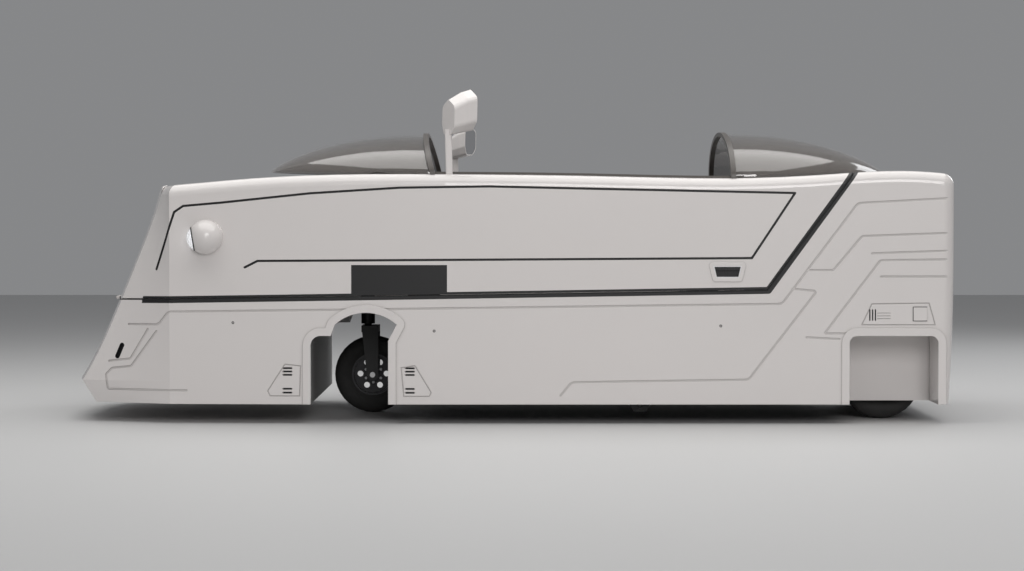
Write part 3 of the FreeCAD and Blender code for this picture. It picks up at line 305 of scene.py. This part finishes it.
# Flush handle: black cup, white rim around its mouth
cup = {
    "x": 0.78188, "low": 0.524, "high": 0.568, "topHalf": 0.048, "lowHalf": 0.0376, "rim": 0.004,
    "white": colour(0.76, 0.75, 0.755), "black": colour(0.010, 0.010, 0.011)}


def handleFinish():
    finish = Finish("handleCup")
    rise = (finish.z - cup["low"]) / (cup["high"] - cup["low"])
    half = rise * (cup["topHalf"] - cup["lowHalf"]) + cup["lowHalf"]
    betweenEnds = (finish.x - cup["x"]).size() - half < 0.0
    inside = betweenEnds * finish.z.within(cup["low"] + cup["rim"], cup["high"] - cup["rim"])
    fine = finish.noise(300.0, 3.0, 0.6)
    return finish.shade(
        colour=finish.mix(inside, cup["white"], cup["black"]), rough=0.20 + fine * 0.12, coat=0.4,
        normal=finish.bump(fine, 0.05, 0.0004))


rubberBlack = colour(0.012, 0.012, 0.013)
rubberGrey = colour(0.02, 0.02, 0.021)
finishes = {
    "white_body": whiteGelcoat(),
    "floor_grey": laminateFinish(),
    "black_steel": plainFinish(
        "blackPowder", rubberBlack, rubberGrey, (0.38, 0.52), 700, (0.25, 0.0005)),
    "steel": plainFinish(
        "turnedSteel", colour(0.50, 0.50, 0.51), colour(0.60, 0.60, 0.60), (0.22, 0.36), 400,
        (0.08, 0.0004), metal=1.0),
    "cast_block": plainFinish(
        "castBlock", colour(0.14, 0.14, 0.145), colour(0.21, 0.21, 0.21), (0.5, 0.68), 420,
        (0.5, 0.0012), metal=0.6),
    "leather": leatherFinish(
        "blackLeather", colour(0.016, 0.015, 0.015), colour(0.030, 0.028, 0.027)),
    "dark_trim": plainFinish(
        "darkTrim", colour(0.070, 0.062, 0.056), colour(0.095, 0.085, 0.077), (0.30, 0.42), 520,
        (0.12, 0.0005)),
    "black_gloss": handleFinish(),
    "smoke_glass": smokedSheet(),
    "lamp_glass": plainFinish(
        "lampGlass", colour(0.93, 0.95, 0.97), colour(0.97, 0.98, 0.99), (0.02, 0.06), 60,
        (0.02, 0.0005), alpha=0.32, coat=1.0, glow=colour(0.92, 0.96, 1.0), glowStrength=0.35),
    "red_lens": plainFinish(
        "redLens", colour(0.50, 0.012, 0.008), colour(0.62, 0.02, 0.01), (0.08, 0.15), 220,
        (0.1, 0.0006), coat=1.0, glow=colour(1.0, 0.03, 0.01), glowStrength=0.5),
    "mirror": plainFinish(
        "mirrorGlass", colour(0.66, 0.66, 0.67), colour(0.70, 0.70, 0.71), (0.02, 0.05), 40,
        (0.01, 0.0003), metal=1.0),
    "rim_metal": plainFinish(
        "darkRim", colour(0.030, 0.030, 0.032), colour(0.045, 0.045, 0.047), (0.3, 0.45), 320,
        (0.08, 0.0005), metal=0.7),
    "tyre": plainFinish(
        "tyreRubber", colour(0.016, 0.016, 0.016), colour(0.026, 0.026, 0.025), (0.6, 0.8), 300,
        (0.35, 0.001))}

# Wheel liner in painted shade: the front wall mid-grey as white plastic in shade, the bay behind it
# black as deep shade
liner = {
    "frontWall": -0.700, "paintedShadeGrey": colour(0.23, 0.225, 0.222), "black": colour(0.020, 0.020, 0.021)}


def linerFinish():
    finish = Finish("wheelLiner")
    fine = finish.noise(260.0, 4.0, 0.6)
    # Painted shade: the front wall takes the shaded grey, the rest of the bay black
    front = finish.x < liner["frontWall"]
    return finish.shade(
        colour=finish.mix(front, liner["black"], liner["paintedShadeGrey"]), rough=0.5 + fine * 0.2,
        normal=finish.bump(fine, 0.3, 0.001))


slotOf = {part["node"]: part["material_slot"] for part in frame["record"]["subparts"]}
ownFinish = {
    "front_bay": linerFinish(),
    "seat_shell": plainFinish(
        "seatPlastic", colour(0.035, 0.034, 0.034), colour(0.05, 0.049, 0.048), (0.42, 0.58), 480,
        (0.3, 0.0007)),
    "hinge_arms": finishes["white_body"], "hinge_brackets": finishes["white_body"]}
print("finishes made:", len(finishes) + 2)


def dressNode(name, thing):
    thing.data.materials.clear()
    thing.data.materials.append(ownFinish.get(name, finishes[slotOf[name]]))
    for face in thing.data.polygons:
        face.material_index = 0


for name, thing in nodes.items():
    dressNode(name, thing)
print("nodes dressed")


# Mesh helpers
def linkMesh(name, mesh, finish, body, smooth):
    piece = bpy.data.objects.new(name, mesh)
    bpy.context.scene.collection.objects.link(piece)
    mesh.materials.append(finish)
    for face in mesh.polygons:
        face.use_smooth = smooth
    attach(piece, body)
    return piece


def turnProfile(build, profile, steps, place):
    rings = []
    for along, radius in profile:
        ring = []
        for step in range(steps if radius > 0 else 1):
            angle = 2 * math.pi * step / steps
            ring.append(build.verts.new(
                place @ Vector((along, radius * math.cos(angle), radius * math.sin(angle)))))
        rings.append(ring)
    for first, second in zip(rings, rings[1:]):
        for step in range(steps):
            following = (step + 1) % steps
            corners = [first[step % len(first)], first[following % len(first)],
                       second[following % len(second)], second[step % len(second)]]
            build.faces.new(list(dict.fromkeys(corners)))


def roundedBlock(build, size, bevel, place, sides=2):
    part = bmesh.new()
    bmesh.ops.create_cube(part, size=1.0)
    bmesh.ops.scale(part, vec=size, verts=part.verts)
    bmesh.ops.bevel(part, geom=part.edges[:], offset=bevel, segments=sides, affect="EDGES", profile=0.5)
    bmesh.ops.transform(part, matrix=place, verts=part.verts)
    mesh = bpy.data.meshes.new("block")
    part.to_mesh(mesh)
    part.free()
    build.from_mesh(mesh)
    bpy.data.meshes.remove(mesh)


def bridgeRings(build, rings):
    for first, second in zip(rings, rings[1:]):
        for corner in range(len(first)):
            following = (corner + 1) % len(first)
            build.faces.new((first[corner], first[following], second[following], second[corner]))


def meshFrom(build, name):
    bmesh.ops.recalc_face_normals(build, faces=build.faces[:])
    mesh = bpy.data.meshes.new(name)
    build.to_mesh(mesh)
    build.free()
    return mesh


def surfaceOf(name):
    build = bmesh.new()
    build.from_mesh(nodes[name].data)
    tree = BVHTree.FromBMesh(build)
    build.free()
    return tree


# Where a straight look from start meets a surface, and its normal there
def strike(tree, start, aim):
    return tree.ray_cast(Vector(start), Vector(aim))[:2]


# A frame at a place whose first axis points out along the normal
def facing(place, normal):
    out = normal.normalized()
    side = Vector((0, 0, 1)).cross(out).normalized()
    return Matrix.Translation(place) @ Matrix((
        (out.x, side.x, out.cross(side).x), (out.y, side.y, out.cross(side).y),
        (out.z, side.z, out.cross(side).z))).to_4x4()


# Headlamp insides: a mirror bowl that glows as a painted reflection, the light source and a rubber ring
# round the glass
lamp = {
    "centre": (-1.08896, -0.585, 0.671), "droop": -9.0, "toe": 6.0,
    "bowl": (
        (-0.0385, 0.0312), (-0.0330, 0.0285), (-0.0270, 0.0225), (-0.0220, 0.0140), (-0.0195, 0.0070)),
    "source": ((-0.0190, 0.0095), (-0.0235, 0.0085), (-0.0260, 0.0055), (-0.0270, 0.0)),
    "ring": (
        (-0.0440, 0.0428), (-0.0462, 0.0431), (-0.0482, 0.0425), (-0.0492, 0.0410), (-0.0492, 0.0390),
        (-0.0470, 0.0384)),
    "steps": 40}


def lampPlace(side):
    place = Matrix.Translation(lamp["centre"]) @ Matrix.Rotation(math.radians(lamp["toe"]), 4, "Z")
    place = place @ Matrix.Rotation(math.radians(lamp["droop"]), 4, "Y")
    return place if side < 0 else Matrix.Scale(-1, 4, (0, 1, 0)) @ place


def makeLamps():
    # Painted reflection: the reflector bowl glows white on its own
    paintedReflectionBowl = plainFinish(
        "lampBowl", colour(0.80, 0.80, 0.82), colour(0.86, 0.86, 0.88), (0.05, 0.12), 90,
        (0.03, 0.0004), metal=1.0, glow=colour(1.0, 1.0, 1.0), glowStrength=0.9)
    source = plainFinish(
        "lampSource", colour(0.95, 0.95, 0.95), colour(1.0, 1.0, 1.0), (0.3, 0.4), 200, (0.02, 0.0003),
        glow=colour(0.92, 0.96, 1.0), glowStrength=6.0)
    rubber = plainFinish("lampRubber", rubberBlack, rubberGrey, (0.5, 0.65), 300, (0.1, 0.0004))
    for name, key, finish, slotName in (
            ("lampBowls", "bowl", paintedReflectionBowl, "mirror"), ("lampSources", "source", source, "lamp_glass"),
            ("lampRings", "ring", rubber, "black_gloss")):
        build = bmesh.new()
        for side in (-1, 1):
            turnProfile(build, lamp[key], lamp["steps"], lampPlace(side))
        linkMesh(name, meshFrom(build, name), finish, "shell", True)


makeLamps()
print("headlamps made")

# Screws let into the lower body's sides
screws = {
    "places": ((-0.992, 0.363), (-0.269, 0.334), (0.758, 0.352)),
    "profile": (
        (-0.0010, 0.0052), (0.0004, 0.0050), (0.0008, 0.0042), (0.0008, 0.0024), (-0.0006, 0.0021),
        (-0.0006, 0.0)),
    "steps": 18}


def makeScrews():
    tree = surfaceOf("lower_body")
    build = bmesh.new()
    for x, z in screws["places"]:
        for side in (-1, 1):
            place, normal = strike(tree, (x, side * 1.0, z), (0, -side, 0))
            turnProfile(build, screws["profile"], screws["steps"], facing(place, Vector((0, side, 0))))
    finish = plainFinish(
        "darkScrew", colour(0.05, 0.05, 0.052), colour(0.08, 0.08, 0.082), (0.3, 0.45), 600,
        (0.1, 0.0003), metal=0.8)
    linkMesh("sideScrews", meshFrom(build, "sideScrews"), finish, "body", True)


makeScrews()
print("screws made")

# Rubber seal in the seam between the lower body and the upper shell
seal = {
    "path": ((-1.455, 0.4414), (0.9264, 0.4795), (1.2280, 0.8930)), "half": 0.0021, "sunk": 0.0035,
    "deep": 0.018, "spacing": 0.03, "probeDrop": 0.012}


def makeSeal():
    tree = surfaceOf("lower_body")
    build = bmesh.new()
    for side in (-1, 1):
        rings = []
        for start, end in zip(seal["path"], seal["path"][1:]):
            along = Vector((end[0] - start[0], 0, end[1] - start[1]))
            across = Vector((-along.z, 0, along.x)).normalized() * seal["half"]
            count = max(2, int(along.length / seal["spacing"]))
            for step in range(count + 1):
                spot = Vector((start[0], 0, start[1])) + along * (step / count)
                probe = spot - across.normalized() * seal["probeDrop"]
                place, normal = strike(tree, (probe.x, side, probe.z), (0, -side, 0))
                outer = Vector((0, place.y - side * seal["sunk"], 0))
                inner = Vector((0, place.y - side * seal["deep"], 0))
                corners = (across + outer, outer - across, inner - across, across + inner)
                rings.append([build.verts.new(spot + corner) for corner in corners])
        bridgeRings(build, rings)
    rubber = plainFinish("sealRubber", rubberBlack, rubberGrey, (0.55, 0.7), 350, (0.15, 0.0005))
    linkMesh("seamSeal", meshFrom(build, "seamSeal"), rubber, "body", False)


makeSeal()
print("seam seal made")

# Rubber seal where each bubble meets the deck
foot = {
    "bubbles": ("front_bubble", "rear_bubble"), "radius": 0.0042, "outset": 0.0015, "rise": 0.0008,
    "steps": 26, "sides": 8, "sweep": 1.555, "skin": 0.02, "above": 1.5, "widest": 0.62, "halvings": 16}


# Outermost point of the bubble at x, found by halving the width
def plateEdge(tree, x, side):
    inner = 0.0
    outer = foot["widest"]
    edge = None
    for halving in range(foot["halvings"]):
        middle = (inner + outer) / 2
        place, normal = strike(tree, (x, side * middle, foot["above"]), (0, 0, -1))
        if place is None:
            outer = middle
        else:
            inner = middle
            edge = place
    return edge


def footLine(name):
    tree = surfaceOf(name)
    corners = [vertex.co for vertex in nodes[name].data.vertices]
    lowest = min(corner.z for corner in corners)
    ends = [corner.x for corner in corners if corner.z < lowest + foot["skin"]]
    tip, hoop = (min(ends), max(ends)) if name.startswith("front") else (max(ends), min(ends))
    line = []
    for side, order in ((-1, range(foot["steps"], 0, -1)), (1, range(1, foot["steps"] + 1))):
        for step in order:
            x = tip + (hoop - tip) * (1 - math.cos(foot["sweep"] * step / foot["steps"]))
            edge = plateEdge(tree, x, side)
            if edge:
                line.append(edge)
    return line


def makeBubbleSeals():
    deck = surfaceOf("upper_shell")
    build = bmesh.new()
    for name in foot["bubbles"]:
        line = footLine(name)
        middle = sum(line, Vector((0, 0, 0))) / len(line)
        rings = []
        for index, spot in enumerate(line):
            along = line[min(index + 1, len(line) - 1)] - line[max(index - 1, 0)]
            out = along.cross(Vector((0, 0, 1))).normalized()
            if out.dot(spot - middle) < 0:
                out = -out
            spot = spot + out * foot["outset"]
            beside = spot + out * foot["radius"]
            ground, normal = strike(deck, (beside.x, beside.y, foot["above"]), (0, 0, -1))
            centre = Vector((spot.x, spot.y, (ground.z if ground else spot.z) + foot["rise"]))
            ring = []
            for corner in range(foot["sides"]):
                angle = 2 * math.pi * corner / foot["sides"]
                around = out * math.cos(angle) + Vector((0, 0, math.sin(angle)))
                ring.append(build.verts.new(centre + around * foot["radius"]))
            rings.append(ring)
        bridgeRings(build, rings)
        build.faces.new(rings[0])
        build.faces.new(rings[-1])
    rubber = plainFinish(
        "bubbleRubber", colour(0.050, 0.045, 0.041), colour(0.065, 0.059, 0.054), (0.5, 0.65), 350,
        (0.15, 0.0005))
    linkMesh("bubbleSeals", meshFrom(build, "bubbleSeals"), rubber, "shell", True)


makeBubbleSeals()
print("bubble seals made")

# Tyres with a grooved tread, and the wheel nuts
wheel = {
    "radius": 0.145, "steps": 36, "places": {
        "front_tyre": ("front_wheel", -0.51712, 0.0), "rear_tyre_left": ("rear_wheel_left", 1.37, -0.3),
        "rear_tyre_right": ("rear_wheel_right", 1.37, 0.3)},
    "half": ((0.0369, 0.0802), (0.0430, 0.0950), (0.0450, 0.1080), (0.0445, 0.1200), (0.0410, 0.1345),
             (0.0345, 0.1425), (0.0265, 0.1443), (0.0255, 0.1395), (0.0215, 0.1395), (0.0205, 0.1447),
             (0.0085, 0.1450), (0.0075, 0.1400), (0.0, 0.1400)),
    "blockCount": 44, "treadRadius": 0.1405, "wallRadius": 0.132, "wallWave": 0.004, "lean": 14.0,
    "cutWidth": 0.22, "splitAngle": 50}

nut = {"circle": 0.0325, "radius": 0.0062, "tall": 0.006, "outset": 0.004, "count": 6}


def tyreFinish(name, x):
    finish = Finish(name)
    dx = finish.x - x
    dz = finish.z - wheel["radius"]
    angle = dz.math("ARCTAN2", dx)
    radius = (dx * dx + dz * dz).root()
    onTread = radius > wheel["treadRadius"]
    skew = (finish.y * wheel["lean"]) + angle * wheel["blockCount"] / 2
    cut = (skew.math("SINE").size() < wheel["cutWidth"]) * onTread
    wall = finish.waves(radius, wheel["wallWave"]) * (radius < wheel["wallRadius"])
    dust = finish.noise(45.0, 5.0, 0.6)
    fine = finish.noise(420.0, 3.0, 0.6)
    height = fine * 0.25 - cut * 1.2 + wall * 0.12
    return finish.shade(
        colour=finish.mix(dust, colour(0.013, 0.013, 0.013), colour(0.030, 0.029, 0.028)),
        rough=0.62 + fine * 0.2, normal=finish.bump(height, 0.6, 0.0022))


def makeTyres():
    for name, (body, x, y) in wheel["places"].items():
        build = bmesh.new()
        turned = Matrix.Translation((x, y, wheel["radius"])) @ Matrix.Rotation(math.pi / 2, 4, "Z")
        half = wheel["half"]
        profile = list(half) + [(-across, radius) for across, radius in reversed(half[:-1])] + [half[0]]
        turnProfile(build, profile, wheel["steps"], turned)
        bmesh.ops.remove_doubles(build, verts=build.verts[:], dist=0.00001)
        finish = tyreFinish(name + "Rubber", x)
        piece = linkMesh(name + "_tread", meshFrom(build, name), finish, body, True)
        edges = piece.modifiers.new("edges", "EDGE_SPLIT")
        edges.split_angle = math.radians(wheel["splitAngle"])
        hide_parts(name)


def makeWheelNuts():
    finish = plainFinish(
        "wheelNut", colour(0.30, 0.30, 0.31), colour(0.40, 0.40, 0.41), (0.25, 0.4), 500,
        (0.1, 0.0003), metal=1.0)
    radius, tall = nut["radius"], nut["tall"]
    profile = ((0.0, radius), (tall * 0.8, radius), (tall, radius * 0.8), (tall, 0.0))
    for name, (body, x, y) in wheel["places"].items():
        build = bmesh.new()
        for side in (-1, 1):
            for step in range(nut["count"]):
                angle = 2 * math.pi * (step + 0.5) / nut["count"]
                across = nut["circle"] * math.cos(angle)
                up = nut["circle"] * math.sin(angle)
                centre = Vector((x + across, y + side * nut["outset"], wheel["radius"] + up))
                turnProfile(build, profile, 6, facing(centre, Vector((0, side, 0))))
        linkMesh(body + "_nuts", meshFrom(build, body), finish, body, False)


makeTyres()
makeWheelNuts()
print("tyres and wheel nuts made")

# Cushions: blown up by a cloth simulation, then channelled
cushion = {
    "tops": {"seat_cushion": (0, 0, 1), "back_cushion": (-0.927, 0, 0.375)},
    "shrink": 0.94, "swell": 0.010, "pressure": 4.0, "quality": 5, "frames": 20,
    "voxel": 0.006, "quickVoxel": 0.009, "smoothing": 6,
    "channels": (-0.105, 0.0, 0.105), "channelHalf": 0.0075, "channelDepth": 0.009}


def middleOf(mesh):
    total = Vector((0, 0, 0))
    for vertex in mesh.vertices:
        total += vertex.co
    return total / len(mesh.vertices)


def runModifiers(piece):
    graph = bpy.context.evaluated_depsgraph_get()
    made = bpy.data.meshes.new_from_object(piece.evaluated_get(graph))
    old = piece.data
    piece.modifiers.clear()
    piece.data = made
    bpy.data.meshes.remove(old)


def blowUp(piece):
    before = [vertex.co.copy() for vertex in piece.data.vertices]
    cloth = piece.modifiers.new("cloth", "CLOTH")
    cloth.settings.use_pressure = True
    cloth.settings.uniform_pressure_force = cushion["pressure"]
    cloth.settings.effector_weights.gravity = 0.0
    cloth.settings.quality = cushion["quality"]
    cloth.point_cache.frame_start = 1
    cloth.point_cache.frame_end = cushion["frames"]
    for moment in range(1, cushion["frames"] + 1):
        bpy.context.scene.frame_set(moment)
    runModifiers(piece)
    bpy.context.scene.frame_set(1)
    for vertex, start in zip(piece.data.vertices, before):
        moved = vertex.co - start
        if moved.length > cushion["swell"]:
            vertex.co = start + moved * (cushion["swell"] / moved.length)


def makeCushion(name, top):
    mesh = nodes[name].data.copy()
    middle = middleOf(mesh)
    shrink = Matrix.Scale(cushion["shrink"], 4)
    mesh.transform(Matrix.Translation(middle) @ shrink @ Matrix.Translation(-middle))
    piece = linkMesh(name + "_cover", mesh, finishes["leather"], "body", True)
    remesh = piece.modifiers.new("remesh", "REMESH")
    remesh.mode = "VOXEL"
    remesh.voxel_size = cushion["voxel"]
    runModifiers(piece)
    blowUp(piece)
    smooth = piece.modifiers.new("smooth", "SMOOTH")
    smooth.iterations = cushion["smoothing"]
    smooth.factor = 0.5
    runModifiers(piece)
    half = cushion["channelHalf"]
    for vertex in piece.data.vertices:
        facingTop = max(0.0, vertex.normal.dot(Vector(top)))
        sunk = sum(math.exp(-((vertex.co.y - line) / half) ** 2) for line in cushion["channels"])
        vertex.co -= vertex.normal * (cushion["channelDepth"] * sunk * facingTop)
    for face in piece.data.polygons:
        face.use_smooth = True
    piece.data.materials.clear()
    piece.data.materials.append(finishes["leather"])
    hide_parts(name)
    print(name, "covered:", len(piece.data.polygons), "faces")


for name, top in cushion["tops"].items():
    makeCushion(name, top)

# Instruments on the dash: two dials, a blank screen and a row of switches
dash = {
    "dialSpots": ((-0.105, 0.735), (0.105, 0.735)), "dialRadius": 0.042, "ticks": (0.028, 0.036),
    "needleLength": 0.031, "needleHalf": 0.0012, "needleAngle": 2.2,
    "screen": (0.0, 0.735), "screenSize": (0.010, 0.118, 0.070),
    "switches": (-0.09, -0.045, 0.0, 0.045, 0.09), "switchHeight": 0.655,
    "switchSize": (0.012, 0.026, 0.016), "leverSize": (0.036, 0.006, 0.006), "leverTilt": 18,
    "behind": 0.4}  # x from which the panel is looked for


def dialFinish():
    finish = Finish("dialFace")
    spots = []
    for y, z in dash["dialSpots"]:
        dy = finish.y - y
        dz = finish.z - z
        radius = (dy * dy + dz * dz).root()
        angle = dz.math("ARCTAN2", dy)
        tick = ((angle * 15.0).math("SINE").size() < 0.22) * radius.within(*dash["ticks"])
        needle = (angle - dash["needleAngle"]).size() * radius < dash["needleHalf"]
        spots.append(tick.most(needle * (radius < dash["needleLength"])))
    light = spots[0].most(spots[1])
    fine = finish.noise(300.0, 3.0, 0.6)
    return finish.shade(
        colour=finish.mix(light, rubberBlack, colour(0.8, 0.8, 0.78)), rough=0.3 + fine * 0.1,
        normal=finish.bump(fine, 0.03, 0.0003))


def makeInstruments():
    tree = surfaceOf("dash_panel")
    rims = bmesh.new()
    faces = bmesh.new()
    blocks = bmesh.new()
    radius = dash["dialRadius"]
    rimProfile = (
        (-0.001, radius), (0.008, radius), (0.011, radius - 0.002), (0.011, radius - 0.004),
        (0.004, radius - 0.006))
    faceProfile = ((0.004, radius - 0.005), (0.0042, 0.004), (0.007, 0.0035), (0.0075, 0.0))

    def onDash(y, z):
        return facing(*strike(tree, (dash["behind"], y, z), (-1, 0, 0)))

    for y, z in dash["dialSpots"]:
        turnProfile(rims, rimProfile, 40, onDash(y, z))
        turnProfile(faces, faceProfile, 40, onDash(y, z))
    roundedBlock(blocks, dash["screenSize"], 0.003, onDash(*dash["screen"]), 3)
    tilt = Matrix.Rotation(math.radians(dash["leverTilt"]), 4, "Y")
    for y in dash["switches"]:
        place = onDash(y, dash["switchHeight"])
        roundedBlock(blocks, dash["switchSize"], 0.002, place)
        roundedBlock(blocks, dash["leverSize"], 0.002, place @ tilt)
    trim = plainFinish(
        "dashTrim", rubberGrey, colour(0.03, 0.03, 0.031), (0.2, 0.32), 400, (0.06, 0.0003))
    linkMesh("dialRims", meshFrom(rims, "dialRims"), finishes["steel"], "body", True)
    linkMesh("dialFaces", meshFrom(faces, "dialFaces"), dialFinish(), "body", True)
    linkMesh("dashSwitches", meshFrom(blocks, "dashSwitches"), trim, "body", False)


makeInstruments()
print("instruments made")

# Stage, lights and camera
studio = {
    "floorHalf": 14.0, "floorShade": 0.55, "worldColour": (0.80, 0.81, 0.83), "worldStrength": 0.30}
lights = {
    "overheadSoft": {
        "place": (0.0, -0.3, 4.2), "aim": (0.0, -0.3, 0.0), "size": (6.5, 6.5), "power": 235.0,
        "tint": (1.0, 0.99, 0.97)},
    "cameraFill": {
        "place": (2.0, -12.0, 4.2), "aim": (0.0, 0.0, 0.5), "size": (5.0, 3.5), "power": 360.0,
        "tint": (1.0, 0.98, 0.97)},
    "tailFill": {
        "place": (5.0, 4.0, 3.0), "aim": (0.0, 0.0, 0.5), "size": (3.0, 2.5), "power": 60.0,
        "tint": (0.97, 0.98, 1.0)}}
cameraPlace = {
    "photoWide": 1024, "photoTall": 571, "horizonRow": 209.0, "metresPerPixel": 0.00358,
    "nearSide": -0.6, "standOff": 9.7, "height": 0.771, "x": 0.010}


def stageFinish(name, shade):
    finish = Finish(name)
    cloud = finish.noise(0.6, 3.0, 0.5)
    lighter = shade * 1.03
    return finish.shade(
        colour=finish.mix(cloud, colour(shade, shade, shade), colour(lighter, lighter, lighter)),
        rough=0.55)


def makeStage():
    half = studio["floorHalf"]
    corners = [(-half, -half, 0), (half, -half, 0), (half, half, 0), (-half, half, 0)]
    mesh = bpy.data.meshes.new("studioFloor")
    mesh.from_pydata(corners, [], [(0, 1, 2, 3)])
    floor = bpy.data.objects.new("studioFloor", mesh)
    bpy.context.scene.collection.objects.link(floor)
    mesh.materials.append(stageFinish("paleFloor", studio["floorShade"]))


def makeLight(name, setup):
    data = bpy.data.lights.new(name, "AREA")
    data.shape = "RECTANGLE"
    data.size, data.size_y = setup["size"]
    data.energy = setup["power"]
    data.color = setup["tint"]
    light = bpy.data.objects.new(name, data)
    light.location = setup["place"]
    away = Vector(setup["aim"]) - Vector(setup["place"])
    light.rotation_euler = away.to_track_quat("-Z", "Y").to_euler()
    bpy.context.scene.collection.objects.link(light)


def makeWorld():
    world = bpy.data.worlds.new("studioWorld")
    bpy.context.scene.world = world
    world.use_nodes = True
    background = world.node_tree.nodes["Background"]
    background.inputs["Color"].default_value = colour(*studio["worldColour"])
    background.inputs["Strength"].default_value = studio["worldStrength"]


def makeCamera():
    data = bpy.data.cameras.new("photoCamera")
    data.sensor_width = 36.0
    focal = cameraPlace["standOff"] / cameraPlace["metresPerPixel"]  # in pixels
    data.lens = focal * data.sensor_width / cameraPlace["photoWide"]
    pitch = math.atan((cameraPlace["photoTall"] / 2 - cameraPlace["horizonRow"]) / focal)
    camera = bpy.data.objects.new("photoCamera", data)
    back = cameraPlace["nearSide"] - cameraPlace["standOff"]
    camera.location = (cameraPlace["x"], back, cameraPlace["height"])
    camera.rotation_euler = (math.pi / 2 - pitch, 0.0, 0.0)
    bpy.context.scene.collection.objects.link(camera)
    bpy.context.scene.camera = camera


makeStage()
for name, setup in lights.items():
    makeLight(name, setup)
makeCamera()
makeWorld()
bpy.context.scene.view_settings.view_transform = "Standard"
print("stage, lights and camera set")
